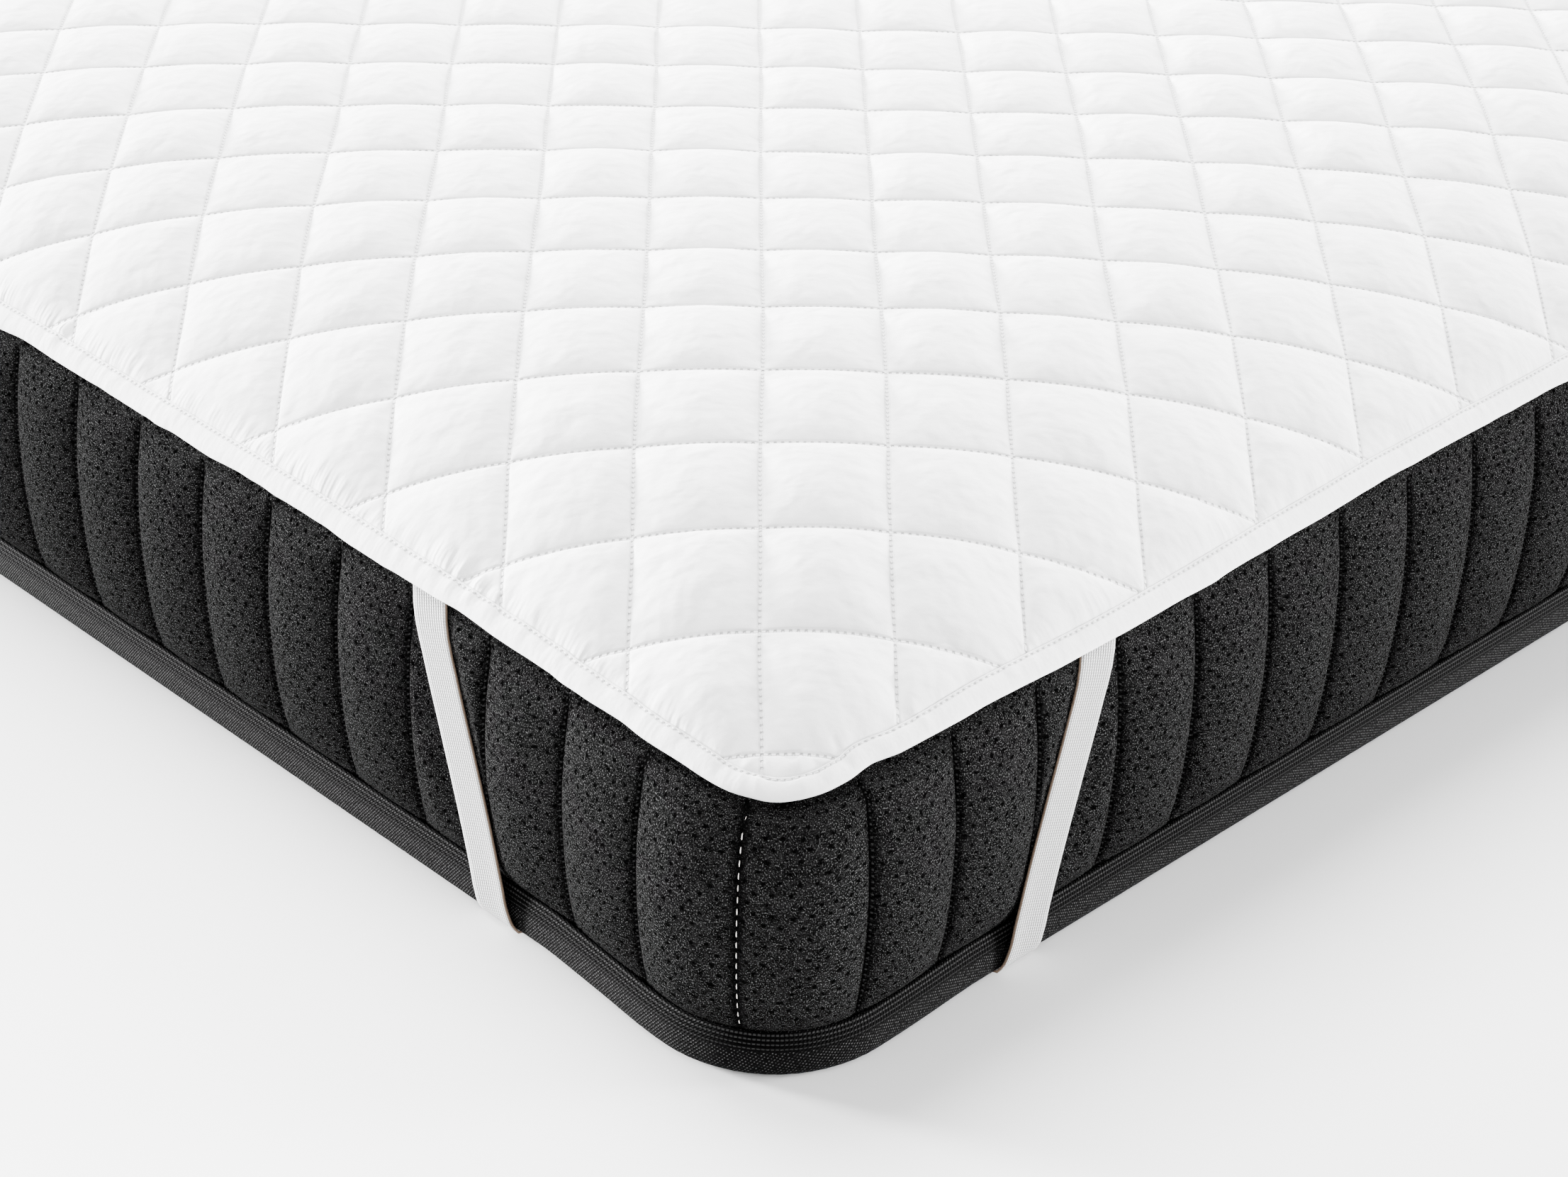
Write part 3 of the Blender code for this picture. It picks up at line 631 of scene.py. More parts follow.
def buildPad(material):
    places, faces, extraCount, loopCount = padTopMesh()
    points = padTop(places[:, 0], places[:, 1])
    loop = np.arange(loopCount) + len(places) - extraCount
    run = runsRound(pad["edgeStep"])
    points[loop] = edgeRing(run, pad["ringInsets"][0], 0.0)

    rings = [loop]
    for inset, rise in pad["rim"]:
        rings.append(np.arange(loopCount) + len(points))
        points = np.concatenate((points, edgeRing(run, inset, rise)))
    for upper, lower in zip(rings, rings[1:]):
        faces += zip(upper, lower, np.roll(lower, -1), np.roll(upper, -1))
    loose = planGrid(0.05)
    heights = stitchHeight(*loose.T) - pad["thickness"]
    points, under = fillRing(points, rings[-1], loose, heights, flipped=True)
    faces += under
    quilt = np.stack(planToQuilt(points[:, 0], points[:, 1]), 1)
    quilt[: len(places)] = places
    return makePiece("quiltedPad", points, faces, quilt[np.concatenate(faces)], material)


def edgeCreases(wire):
    # short creases square to the binding, strongest on the two ends
    x, y = wire.node("ShaderNodeTexCoord", output=3).parts()
    patches = wire.noise(wire.vector(x, y), 22).between(0.35, 0.65)
    height = 0.0
    for way, half, key in ((y, halfY, "endCreases"), (x, halfX, "sideCreases")):
        setIn, full, depth, scaleX, scaleY = pad[key]
        near = abs(way).between(half - setIn, half - full)
        fine = wire.noise(wire.vector(x * scaleX, y * scaleY), detail=1)
        height = height + fine * near * depth
    return height * (patches * 0.75 + 0.25)


def padCloth():
    material, wire, u, v = startCloth("padCloth", {
        "Roughness": 0.88, "Specular IOR Level": 0.25, "Sheen Weight": 0.06, "Sheen Roughness": 0.5,
    })
    rows, columns = u.toLine(pad["cellAlong"]), v.toLine(pad["cellAcross"])
    flat = wire.vector(u, v)
    dips, threads = 0.0, 0.0
    for across, along in ((rows, v), (columns, u)):
        step = along.toLine(pad["stitch"])               # 0 where the thread goes down
        dips = dips + across.within(0.0003, 0.0011) * step.within(0.0004, 0.0011)
        threads = threads + across.within(0.0002, 0.0006) * step.between(0.0005, 0.0010)
    # seam marks a band along each stitch line; its darker colour is painted shade in the valleys
    # between the pillows
    seam = wire.sum("MINIMUM", rows, columns).within(0.0002, 0.0022)
    fuzz = wire.noise(flat, 1300, 2, 0.6)
    shade = wire.mix(wire.noise(flat, 95, 3, 0.6), grey(0.84), grey(0.89)).coated(
        (fuzz.between(0.45, 0.75) * 0.35, grey(0.78)),
        (seam * 0.35, grey(0.66)),
        (threads * 0.6, grey(0.86)),
        # the needle holes, dips, are darkened: painted shade in the holes
        (wire.sum("MINIMUM", dips * 0.45, 0.5), grey(0.40)),
    )
    dents = wire.noise(flat, 38) * 0.0036 + wire.noise(wire.vector(u, v * 0.6), 110) * 0.0008
    height = dents + fuzz * 0.00008 + threads * 0.00035 - dips * 0.0008 - seam * 0.0006
    endCloth(material, shade, height + edgeCreases(wire))
    return material


padPiece = buildPad(padCloth())
finishPiece(padPiece, "pad_cloth", "quilted_pad")
print("pad", len(padPiece.data.polygons), "faces")


# the folded binding and its stitching

binding = {
    "edgeStep": 0.0022,
    # inset from the edge, height over the stitch line, share of the creases and of the waves
    "fold": (
        (0.0140, 0.0008, 0.2, 0), (0.0134, 0.0013, 0.5, 0), (0.0127, 0.0008, 0.5, 0),
        (0.0118, 0.0013, 0.9, 0.1), (0.0100, 0.0018, 1.0, 0.3), (0.0078, 0.0018, 0.9, 0.6),
        (0.0057, 0.0012, 0.6, 0.8), (0.0041, 0.0003, 0.3, 1.0), (0.0032, -0.0010, 0.1, 1.0),
        (0.0030, -0.0023, 0.1, 1.0), (0.0036, -0.0035, 0, 0.8), (0.0050, -0.0044, 0, 0.3),
        (0.0080, -0.0050, 0, 0), (0.0140, -0.0058, 0, 0), (0.0140, -0.0050, 0, 0),
        (0.0047, -0.0035, 0, 0), (0.0047, -0.0008, 0, 0), (0.0140, -0.0003, 0, 0),
    ),
    "creaseDepth": 0.0010,
    "sideCreases": 1.8,          # share of the creases and of the waves on the long sides
    "sideWaves": 0.5,
    "edgeWave": 0.0010,
    "wavePitches": (0.034, 0.013),
    "stitchRow": 2,              # the row of the fold that the stitches lie on
    "stitchAt": 0.0022,          # the same, round the section from the inner lip
    "stitchPitch": 0.0044,
    "stitchLength": 0.0031,
    "thread": 0.00048,
}


def bindingRing(run, fold):
    inset, rise, crease, wave = fold
    long, short = binding["wavePitches"]
    swing = wavesAlong(run, long, seed=31) + 0.35 * wavesAlong(run, short, seed=32)
    push = wave * binding["edgeWave"] * swing * sideShare(run, binding["sideWaves"])
    x, y = padEdge(run, inset - push)
    folds = binding["creaseDepth"] * puckers(run) * sideShare(run, binding["sideCreases"])
    return np.stack((x, y, stitchHeight(x, y) + rise + crease * folds), 1)


def buildBinding(material):
    run = runsRound(binding["edgeStep"])
    points = np.stack([bindingRing(run, fold) for fold in binding["fold"]], 1)
    faces, corners = roundFaces(run, [fold[:2] for fold in binding["fold"]])
    return makePiece("edgeBinding", points, faces, corners, material)


def bindingCloth():
    look = {"Roughness": 0.82, "Specular IOR Level": 0.3, "Sheen Weight": 0.05}
    material, wire, u, v = startCloth("bindingCloth", look)
    flat = wire.vector(u, v)
    line = abs(v - binding["stitchAt"])
    hole = line.within(0.0003, 0.0010) * u.toLine(binding["stitchPitch"]).within(0.0004, 0.0010)
    groove = line.within(0.0003, 0.0016)
    # groove and hole darken the stitch line and its needle holes: painted shade in these hollows
    shade = wire.mix(wire.noise(flat, 120, 3, 0.6), grey(0.86), grey(0.91)).coated(
        (groove * 0.4, grey(0.50)),
        (hole * 0.6, grey(0.30)),
    )
    weave = (u + v).toLine(0.0006) + (u - v).toLine(0.0006)
    height = wire.noise(flat, 150) * 0.0006 + weave * 0.10 - groove * 0.0004 - hole * 0.0007
    endCloth(material, shade, height + edgeCreases(wire) * 0.3)
    return material


def threadMesh(centres, ways, normals, length, thickness):
    # one small stitch at each centre: a six-sided thread with its two ends drawn down
    # place along the stitch, thickness, rise
    rings = (
        (-0.5, 0.15, -0.9), (-0.36, 0.8, -0.1), (0, 1, 0.25), (0.36, 0.8, -0.1), (0.5, 0.15, -0.9),
    )
    sides = 6
    across = np.cross(normals, ways)
    points = []
    for place, size, rise in rings:
        for side in range(sides):
            turned = math.tau * side / sides
            offset = ways * place * length
            offset = offset + across * (math.cos(turned) * size * thickness)
            offset = offset + normals * ((math.sin(turned) * size + rise) * thickness)
            points.append(centres + offset)
    u = np.arange(len(rings))[:, None] * length / (len(rings) - 1)
    faces, corners = sweptFaces(u, np.arange(sides + 1) / sides, closedRows=False)
    starts = np.arange(len(centres))[:, None, None] * len(points)
    caps = np.stack((np.arange(sides)[::-1], np.arange(sides) + len(points) - sides))
    caps = (caps + starts).reshape(-1, sides)
    corners = np.tile(corners.reshape(-1, 2), (len(centres), 1))
    corners = np.concatenate((corners, np.zeros((caps.size, 2))))
    return np.stack(points, 1), [*(faces + starts).reshape(-1, 4), *caps], corners


def threadCloth(name, value, warm=0.0):
    material, wire, u, v = startCloth(name, {"Roughness": 0.6, "Specular IOR Level": 0.35})
    twist = (u + v * 0.0006).repeat(0.0006)
    shade = wire.mix(twist, grey(value * 0.9, warm), grey(value, warm))
    endCloth(material, shade, abs(twist - 0.5) * 0.0001)
    return material


def buildBindingStitches(material):
    run = runsRound(binding["stitchPitch"], shift=0.5)
    fold = binding["fold"][binding["stitchRow"]]
    centres = bindingRing(run, fold)
    ways = unit(bindingRing(run + 0.002, fold) - centres)
    inward = unit(bindingRing(run, (fold[0] + 0.004, fold[1], 0, 0)) - centres)
    normals = np.cross(inward, ways)
    normals *= np.sign(normals[:, 2:3])
    parts = threadMesh(centres, ways, normals, binding["stitchLength"], binding["thread"])
    return makePiece("bindingStitches", *parts, material)


bindingPiece = buildBinding(bindingCloth())
finishPiece(bindingPiece, "binding_cloth", "edge_binding")
stitchPiece = buildBindingStitches(threadCloth("bindingThread", 0.90))
finishPiece(stitchPiece, "binding_cloth")
print("binding", len(bindingPiece.data.polygons), "faces")


# the mattress, with its upright sewn channels

mattress = {
    "channels": 98,
    "firstSeam": -0.078,
    "steps": (0.0, 0.0009, 0.0024, 0.0052, 0.0100, 0.0180, 0.0270),
    "tapeTop": 0.0270,
    # share of the height, seam out from the side's plane, crest out from it
    "rows": (
        (0.00, -0.0070, -0.0045), (0.06, -0.0058, 0.0022), (0.18, -0.0032, 0.0074),
        (0.40, 0.0000, 0.0106), (0.62, 0.0004, 0.0110), (0.82, -0.0020, 0.0076),
        (0.94, -0.0045, 0.0018), (1.00, -0.0056, -0.0030),
    ),
    "rowCount": 26,
    "round": 0.62,
    "uneven": 0.10,
    "groove": 0.0020,
    "grooveReach": 0.0012,
    "ripple": 0.0007,
    "ripplePitch": 0.018,
    "flatSeam": 0.35,            # how deep the joining seam at the near corner is
    "flatReach": 0.030,
    "topEdgeDrop": 0.0090,
    "topEdgeIn": 0.0040,
    "ledges": (0.024, 0.031),    # the step up to the pad's underside, in from the edge
    "ledgePoints": 300,
    "underPad": 0.0054,
    "foot": ((0.0, -0.0090), (0.0016, -0.0045), (0.0100, -0.0020)),
    "stitch": 0.0040,
    "pinPitch": (0.0082, 0.0066),
}
elastic = {
    "width": 0.028,
    "thickness": 0.0014,
    "onEnd": (0.294, 0.2290),    # distance from the corner at the binding, and at the bottom edge
    "onSide": (0.2535, 0.193),
    "footZ": 0.0022,
    "underZ": 0.0012,
    "topIn": 0.0062,             # its top end, under the binding
    "topDrop": 0.0063,
    # share of the way down, out from the side's plane, lift and spread of the corner-side edge
    "rows": (
        (0.00, -0.0060, 0, 0), (0.03, -0.0042, 0, 0), (0.08, -0.0022, 0, 0), (0.22, -0.0006, 0, 0),
        (0.46, 0.0008, 0, 0), (0.68, 0.0022, 0.0004, 0.0003), (0.85, 0.0038, 0.0012, 0.0010),
        (0.94, 0.0050, 0.0014, 0.0020), (0.98, 0.0046, 0.0010, 0.0032),
        (1.00, 0.0030, 0.0006, 0.0040),
    ),
    "turnIns": (0.0010, 0.0090),
    "underShares": (0.18, 0.82),
    "ribPitch": 0.0020,
    "pickPitch": 0.0017,
    # the channels give way to it: gap, half width of the press, slope beside it
    "press": (0.0008, 0.017, 0.5),
}
elasticTable = np.array(elastic["rows"]).T


def elasticTop(reach):
    # just under the binding, this far from a corner
    pull = bed["cornerPull"] * np.exp(-reach / bed["pullReach"])
    return stitchHeight(halfX - pull - elastic["topIn"], halfY - reach) - elastic["topDrop"]


def pressedOut(place, out, height):
    # the channels give way a little where an elastic lies on them
    fromSide = halfX - np.abs(place[:, 0])
    fromEnd = halfY - np.abs(place[:, 1])
    onSide = fromSide < fromEnd
    reach = np.where(onSide, fromEnd, fromSide)
    top, foot = (np.where(onSide, elastic["onSide"][k], elastic["onEnd"][k]) for k in (0, 1))
    topZ = elasticTop(top)
    down = (topZ - height) / (topZ - elastic["footZ"])
    away = np.abs(reach - top - (foot - top) * down)
    gap, half, slope = elastic["press"]
    limit = curveThrough(down, elasticTable[0], elasticTable[1]) - elastic["thickness"] / 2 - gap
    return np.minimum(out, limit + np.maximum(away - half, 0) * slope)


def mattressSide(run, share, pitch):
    # rings of points, from the foot up to the edge under the pad
    place, out = outlineAt(run)
    topIn = mattress["topEdgeIn"] + np.maximum(standsOut(run, bed["padFull"]), 0)
    top = edgeRing(run, topIn, -mattress["topEdgeDrop"])
    toSeam = np.minimum(share, 1 - share) * pitch
    bulge = np.sin(np.pi * share) ** mattress["round"]
    groove = mattress["groove"] * np.exp(-toSeam / mattress["grooveReach"])
    # the seam that joins the border's ends is shallow
    toJoin = np.abs(runPast(run, mattress["firstSeam"]))
    filled = (1 - mattress["flatSeam"]) * (1 - eased(toJoin / mattress["flatReach"]))
    bulge = bulge + (1 - bulge) * filled
    groove = groove * (1 - filled)

    rings = [np.column_stack((place + out * reach, np.full(len(run), height)))
             for height, reach in mattress["foot"]]
    shares, seams, crests = np.array(mattress["rows"]).T
    swell = mattress["uneven"] * wavesAlong(run, pitch, seed=41)
    for level in np.linspace(0, 1, mattress["rowCount"]):
        level = (level + eased(level)) / 2
        seamOut, crestOut = (curveThrough(level, shares, outs) for outs in (seams, crests))
        height = mattress["tapeTop"] + level * (top[:, 2] - mattress["tapeTop"])
        fade = math.sin(math.pi * level) ** 0.5 if 0 < level < 1 else 0.0
        ripple = mattress["ripple"] * wavesOver(run, height + 2, mattress["ripplePitch"], seed=43)
        reach = seamOut + (crestOut - seamOut) * bulge * (1 + swell * fade)
        reach = pressedOut(place, reach - groove * fade + ripple * fade * bulge, height)
        rings.append(np.column_stack((place + out * reach[:, None], height)))
    rings[-1] = top
    return np.stack(rings)


def buildMattress(material):
    pitch = perimeter / mattress["channels"]
    steps = stepsAcross(mattress["steps"], pitch)
    seams = mattress["firstSeam"] + np.arange(mattress["channels"])[:, None] * pitch
    run = (seams + steps).ravel()
    columns = len(run)
    grid = mattressSide(run, np.tile(steps / pitch, mattress["channels"]), pitch)
    climb = np.linalg.norm(np.diff(grid, axis=0), axis=2)
    v = np.concatenate((np.zeros((1, columns)), np.cumsum(climb, axis=0)))
    u, v = np.append(run, run[0] + perimeter), np.append(v, v[:, :1], axis=1)
    faces, corners = sweptFaces(u, v, closedRows=False)
    faces, corners = faces[:, ::-1], corners[:, ::-1].reshape(-1, 2)

    # the top under the pad, and the underside
    points = grid.reshape(-1, 3)
    square = planGrid(0.06)
    around = runsRound(perimeter / mattress["ledgePoints"])
    ledges = [np.stack(padEdge(around, inset), 1) for inset in mattress["ledges"]]
    loose = np.concatenate((*ledges, square))
    drop = np.full(len(loose), mattress["underPad"])
    drop[: len(around)] = mattress["topEdgeDrop"]
    topRing = np.arange(columns) + len(points) - columns
    points, above = fillRing(points, topRing, loose, stitchHeight(*loose.T) - drop)
    ground = np.zeros(len(square))
    points, below = fillRing(points, np.arange(columns), square, ground, flipped=True)
    fills = above + below
    corners = np.concatenate((corners, points[np.concatenate(fills)][:, :2]))
    return makePiece("mattressBody", points, [*faces, *fills], corners, material)


def borderKnit():
    material, wire, u, v = startCloth("borderKnit", {"Roughness": 0.95, "Specular IOR Level": 0.0})
    flat = wire.vector(u, v)
    # pin dimples in staggered rows, pushed about a little
    wide, high = mattress["pinPitch"]
    du = u + (wire.noise(flat, 45) - 0.5) * 0.012
    dv = v + (wire.noise(flat, 38, 1) - 0.5) * 0.010
    row = (dv / high).floor()
    across = ((du / wide + row * 0.5).repeat(1.0) - 0.5) * wide
    up = (dv.repeat(high) - 0.5) * high
    toPin = wire.sum("SQRT", across * across + up * up)
    pin = toPin.within(0.0006, 0.0018) * wire.noise(flat, 120, 1).between(0.36, 0.48)
    # short slanted knit loops, and heathered fibres in three sizes
    loops = ((u * 0.9 + v * 0.45).repeat(0.0015) - 0.5) * 2
    wale = abs(loops) * (v.toLine(0.0012) / 0.0006)
    fibres = wire.noise(wire.vector(u * 1500, v * 900), 1.0, 3, 0.7)
    heather = wire.noise(wire.vector(u * 520, v * 380), 1.0, 3, 0.7)
    cloud = wire.noise(flat, 110, 4, 0.65)
    # the seams' dotted stitches, left out at the joining seam
    fromFirst = u - mattress["firstSeam"]
    toSeam = fromFirst.toLine(perimeter / mattress["channels"])
    stitch = toSeam.between(0.0007, 0.0010) * toSeam.within(0.0014, 0.0018)
    stitch = stitch * v.toLine(mattress["stitch"]).within(0.0004, 0.0008)
    stitch = stitch * fromFirst.toLine(perimeter).between(0.004, 0.005)
    shade = wire.mix(cloud.between(0.34, 0.66), grey(0.0018), grey(0.0064)).coated(
        (heather.within(0.36, 0.50) * 0.6, grey(0.0006)),
        (heather.between(0.54, 0.68) * 0.6, grey(0.020)),
        (fibres.between(0.55, 0.65) * 0.85, grey(0.085)),
        (fibres.within(0.37, 0.47) * 0.8, grey(0.0005)),
        # the pin dimples are darkened: painted shade in the dimples
        (pin * 0.95, grey(0.0004)),
        # a band darkened beside each channel seam: painted shade in the seams' grooves
        (toSeam.within(0.0006, 0.0055) * 0.85, grey(0.0005)),
        (stitch * 0.4, grey(0.05)),
    )
    height = wale * 0.00025 + fibres * 0.0004 + heather * 0.0004 + cloud * 0.0008 - pin * 0.0009
    endCloth(material, shade, height)
    return material


mattressPiece = buildMattress(borderKnit())
finishPiece(mattressPiece, "border_knit", "mattress")
print("mattress", len(mattressPiece.data.polygons), "faces")


# long pale stitches down the joining seam at the near corner

joinSeam = {"pitch": 0.0073, "length": 0.0040, "thread": 0.00032, "low": 0.034, "high": 0.178}


def buildJoinStitches(material):
    foot, out = outlineAt([mattress["firstSeam"]])
    inward = Vector((-out[0][0], -out[0][1], 0))
    rows = []
    for k in range(int((joinSeam["high"] - joinSeam["low"]) / joinSeam["pitch"])):
        height = joinSeam["low"] + k * joinSeam["pitch"]
        start = Vector((*foot[0], height)) - inward * 0.05
        starts = [start + Vector((0, 0, dz)) for dz in (-0.001, 0.001)]
        low, high = (mattressPiece.ray_cast(place, inward)[1] for place in starts)
        rows.append(((low + high) / 2 - inward * 0.0003, (high - low).normalized(), -inward))
    ways = (np.array(values) for values in zip(*rows))
    parts = threadMesh(*ways, joinSeam["length"], joinSeam["thread"])
    return makePiece("joinStitches", *parts, material)


joinPiece = buildJoinStitches(threadCloth("joinThread", 0.80, 0.05))
finishPiece(joinPiece, "border_knit")
print("joining seam", len(joinPiece.data.polygons), "faces")


# the ribbed tape round the bottom edge

tape = {
    # height, out from the side's plane
    "path": (
        (0.0270, -0.0032), (0.0230, -0.0010), (0.0170, 0.0012),
        (0.0100, 0.0026), (0.0050, 0.0028), (0.0022, 0.0018),
    ),
    "ribs": (0.0012, 0.0036, 0.0060, 0.0084),    # down from the top edge
    "ribHeight": 0.0009,
    "ribHalf": 0.0009,
    "ribbed": 0.0100,            # depth of the ribbed part, and the mesh step over it
    "ribStep": 0.0006,
    "thickness": 0.0012,
    "step": 0.008,
}


def buildTape(material):
    path = np.array(tape["path"])
    along = lengthAlong(path)
    ribbed = tape["ribbed"]
    at = np.concatenate((np.arange(0, ribbed, tape["ribStep"]), np.linspace(ribbed, along[-1], 9)))
    z, out = (curveThrough(at, along, way) for way in path.T)
    rise = np.zeros(len(at))
    for rib in tape["ribs"]:
        rise += tape["ribHeight"] * np.maximum(1 - ((at - rib) / tape["ribHalf"]) ** 2, 0) ** 0.5
    slopeZ, slopeOut = np.gradient(z, at), np.gradient(out, at)
    turned = np.hypot(slopeZ, slopeOut)
    face = np.stack((z + slopeOut / turned * rise, out - slopeZ / turned * rise), 1)
    backZ, backOut = (curveThrough(np.linspace(along[-1], 0, 5), along, way) for way in path.T)
    section = np.concatenate((face, np.stack((backZ, backOut - tape["thickness"]), 1)))
    run = runsRound(tape["step"])
    place, outward = outlineAt(run)
    plan = place[:, None] + outward[:, None] * section[:, 1:]
    heights = np.broadcast_to(section[:, :1], (*plan.shape[:2], 1))
    faces, corners = roundFaces(run, section)
    return makePiece("bottomTape", np.concatenate((plan, heights), 2), faces, corners, material)


def tapeWeb():
    material, wire, u, v = startCloth("tapeWeb", {"Roughness": 0.75, "Specular IOR Level": 0.03})
    # steep twill yarns with pale glints, which are painted highlights, and a line of painted
    # highlight dashes on the yarn along each rib's crest
    yarn = (u + v * 0.8).toLine(0.0021) / 0.00105
    cross = (v - u * 0.35).toLine(0.0018) / 0.0009
    stray = wire.noise(wire.vector(u * 600, v * 600), 1.0, 2, 0.6)
    glint = yarn.between(0.50, 0.85) * cross.between(0.35, 0.75) * stray.between(0.40, 0.56)
    onRib = v.within(0.0134, 0.0144)
    toCrest = (v - 0.0017).toLine(0.00343)
    crestHighlight = toCrest.within(0.0004, 0.0008) * u.toLine(0.0024).between(0.0003, 0.0006)
    shade = wire.mix(wire.noise(wire.vector(u, v), 160), grey(0.0006), grey(0.0020)).coated(
        # painted highlights: the glints on the twill and the lit dashes on the rib crests
        (glint * (1 - onRib), grey(0.065)),
        (crestHighlight * onRib * 0.9, grey(0.026)),
        # painted shade in the grooves between the ribs
        (toCrest.between(0.0008, 0.0013) * onRib, grey(0.0003)),
    )
    endCloth(material, shade, yarn * 0.00030 + cross * 0.00025 + stray * 0.0001)
    return material


tapePiece = buildTape(tapeWeb())
finishPiece(tapePiece, "tape_web", "bottom_tape")
print("tape", len(tapePiece.data.polygons), "faces")


# the corner elastics

def elasticLine(onSide, steps, across):
    # one upright stretch: places in from the side and from the end, and up, for each step
    top, foot = elastic["onSide"] if onSide else elastic["onEnd"]
    lean = (top - foot) / (elasticTop(top) - elastic["footZ"])
    half = elastic["width"] / 2 * math.sqrt(1 + lean * lean)
    curl = np.clip(-across, 0, 1) ** 2
    topZ = elasticTop(top + across * half)
    lines = []
    for down in steps:
        out, lift, spread = (curveThrough(down, elasticTable[0], way) for way in elasticTable[1:])
        along = top + (foot - top) * down + across * half - spread * curl
        inward = -(out + lift * curl)
        height = topZ + (elastic["footZ"] - topZ) * down
        lines.append(np.stack((inward, along, height) if onSide else (along, inward, height), 1))
    return lines


def elasticUnder(across):
    # the stretch under the bed, from one edge to the other
    half = elastic["width"] / 2
    flatZ = np.full(across.shape, elastic["underZ"])
    spread = elastic["rows"][-1][3] * np.clip(-across, 0, 1) ** 2
    endFoot, sideFoot = elastic["onEnd"][1], elastic["onSide"][1]
    onEnd, onSide = ([
        np.stack((foot + across * half - spread - inset, np.full(across.shape, inset), flatZ), 1)
        for inset in elastic["turnIns"]
    ] for foot in (endFoot, sideFoot))
    start, end = np.array((endFoot, 0.0)), np.array((0.0, sideFoot))
    way = (end - start) / np.linalg.norm(end - start)
    wide = across[:, None] * (np.array((-way[1], way[0])) * half)
    middle = [np.column_stack((start + (end - start) * share + wide, flatZ))
              for share in np.linspace(*elastic["underShares"], 9)]
    return onEnd + middle + [line[:, (1, 0, 2)] for line in reversed(onSide)]


def buildElastic(name, signX, signY, material):
    across = np.linspace(-1, 1, 9)
    steps = np.concatenate((np.linspace(0, 0.8, 17), np.linspace(0.82, 1, 14)))
    lines = elasticLine(False, steps, across) + elasticUnder(across)
    grid = np.array(lines + elasticLine(True, steps, across)[::-1])
    fromSide, fromEnd, height = np.moveaxis(grid, 2, 0)
    points = np.stack((signX * (halfX - fromSide), signY * (halfY - fromEnd), height), 2)
    u = lengthAlong(points[:, len(across) // 2])
    v = (across + 1) * elastic["width"] / 2
    faces, corners = sweptFaces(u[:, None], v, closedRows=False, closedColumns=False)
    if signX * signY > 0:
        faces, corners = faces[:, ::-1], corners[:, ::-1]
    piece = makePiece(name, points, faces, corners, material)
    thicken = piece.modifiers.new("thickness", "SOLIDIFY")
    thicken.thickness = elastic["thickness"]
    thicken.offset = 0.0
    bpy.ops.object.select_all(action="DESELECT")
    piece.select_set(True)
    bpy.context.view_layer.objects.active = piece
    bpy.ops.object.modifier_apply(modifier="thickness")
    return piece, float(u[-1])


def elasticWeb():
    material, wire, u, v = startCloth("elasticWeb", {"Roughness": 0.72, "Specular IOR Level": 0.3})
    # narrow lengthwise cords, crossed by short picks that step from cord to cord
    rib, pick = elastic["ribPitch"], elastic["pickPitch"]
    cord = 1 - abs(v.repeat(rib) - 0.5) * 2
    step = (u + (v / rib).floor() * (pick / 2)).repeat(pick)
    bar = (1 - abs(step - 0.5) * 2) * cord
    # the gaps between the cords, and between the picks, are darkened: painted shade in the weave's
    # hollows
    shade = wire.mix(cord.between(0.0, 0.50), grey(0.07), grey(0.62)).coated(
        (bar.within(0.05, 0.45) * 0.65, grey(0.14)),
        (v.within(0.0003, 0.0009) * 0.75, (0.16, 0.10, 0.06, 1)),    # brown line on the corner side
    )
    endCloth(material, shade, bar * 0.00035 + cord * 0.00030)
    return material


elasticCloth = elasticWeb()
cornerSigns = {
    "near_right": (1, -1), "far_right": (1, 1), "far_left": (-1, 1), "near_left": (-1, -1),
}
for corner, signs in cornerSigns.items():
    words = corner.title().replace("_", "")
    piece, stretch = buildElastic("cornerElastic" + words, *signs, elasticCloth)
    finishPiece(piece, "elastic_web", "corner_elastic_" + corner)
print("elastics", round(stretch, 3), "m long")
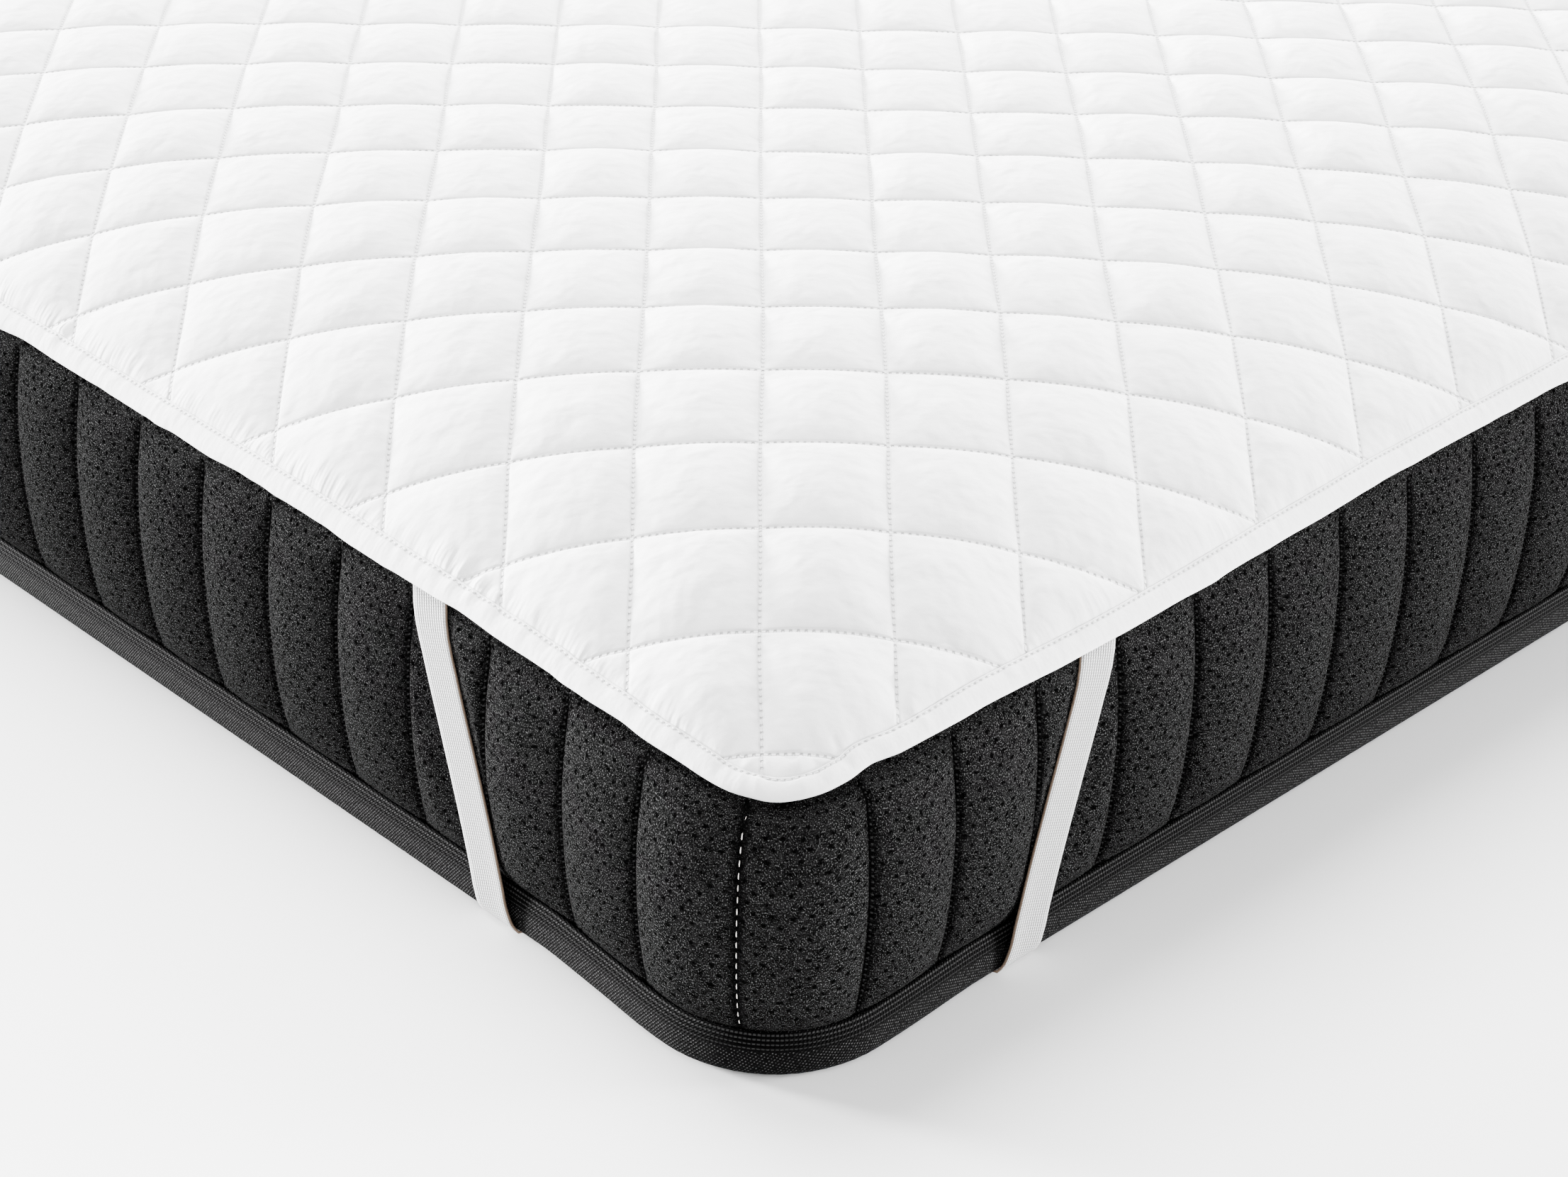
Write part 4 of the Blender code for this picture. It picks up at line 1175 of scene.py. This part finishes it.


# floor, light and camera

studio = {
    "floor": 0.92,
    "floorSize": 30,
    "floorZ": -0.0004,
    "sky": 1.6,
    # name, the way the light comes from, strength, softness in degrees
    "suns": (
        ("topSun", (-0.60, 0.20, 1.0), 11.5, 36),
        ("leftSun", (-1.0, -0.40, 0.14), 30.0, 12),
        ("rightSun", (0.66, 1.0, 0.08), 21.0, 18),
    ),
    # a broad lamp over the far left, so that the light falls away towards the near corner
    "lampPlace": (-1.9, 1.1, 2.1),
    "lampAim": (-0.2, -0.2, 0.2),
    "lampSize": 1.5,
    "lampPower": 400,
    "cameraPlace": (1.678, -1.976, 1.148),
    "cameraPitch": 30.73,
    "cameraTurn": 45.13,
    "cameraRoll": 1.45,
    "lens": 74.96,
    "sensor": 36,
}


def addLamp(name, kind, place, way, **settings):
    light = bpy.data.lights.new(name, kind)
    for key, value in settings.items():
        setattr(light, key, value)
    lamp = bpy.data.objects.new(name, light)
    lamp.location = place
    lamp.rotation_euler = way.to_track_quat("Z", "Y").to_euler()
    bpy.context.scene.collection.objects.link(lamp)


def buildStudio():
    bpy.ops.object.select_all(action="DESELECT")
    bpy.ops.mesh.primitive_plane_add(size=studio["floorSize"], location=(0, 0, studio["floorZ"]))
    floor = bpy.context.object
    floor.name = "floor"
    paint = newMaterial("floorPaint", {"Base Color": grey(studio["floor"]), "Roughness": 0.9})
    floor.data.materials.append(paint)

    world = bpy.data.worlds.new("studio")
    world.use_nodes = True
    sky = world.node_tree.nodes["Background"]
    sky.inputs["Color"].default_value = (1, 1, 1, 1)
    sky.inputs["Strength"].default_value = studio["sky"]
    bpy.context.scene.world = world

    for name, way, strength, softness in studio["suns"]:
        way = Vector(way)
        addLamp(name, "SUN", way * 3, way, energy=strength, angle=math.radians(softness))
    place = Vector(studio["lampPlace"])
    way = place - Vector(studio["lampAim"])
    addLamp("farLamp", "AREA", place, way, energy=studio["lampPower"], size=studio["lampSize"])


def buildCamera():
    pitch, turn, roll = (math.radians(studio["camera" + key]) for key in ("Pitch", "Turn", "Roll"))
    flat = math.cos(pitch)
    forward = Vector((-flat * math.sin(turn), flat * math.cos(turn), -math.sin(pitch)))
    right = Vector((math.cos(turn), math.sin(turn), 0))
    up = right.cross(forward)
    sine, cosine = math.sin(roll), math.cos(roll)
    right, up = right * cosine + up * sine, up * cosine - right * sine
    lens = bpy.data.cameras.new("camera")
    lens.lens = studio["lens"]
    lens.sensor_width = studio["sensor"]
    camera = bpy.data.objects.new("camera", lens)
    turned = Matrix((right, up, -forward)).transposed().to_4x4()
    camera.matrix_world = Matrix.Translation(studio["cameraPlace"]) @ turned
    bpy.context.scene.collection.objects.link(camera)
    bpy.context.scene.camera = camera


buildStudio()
buildCamera()
print("studio made")
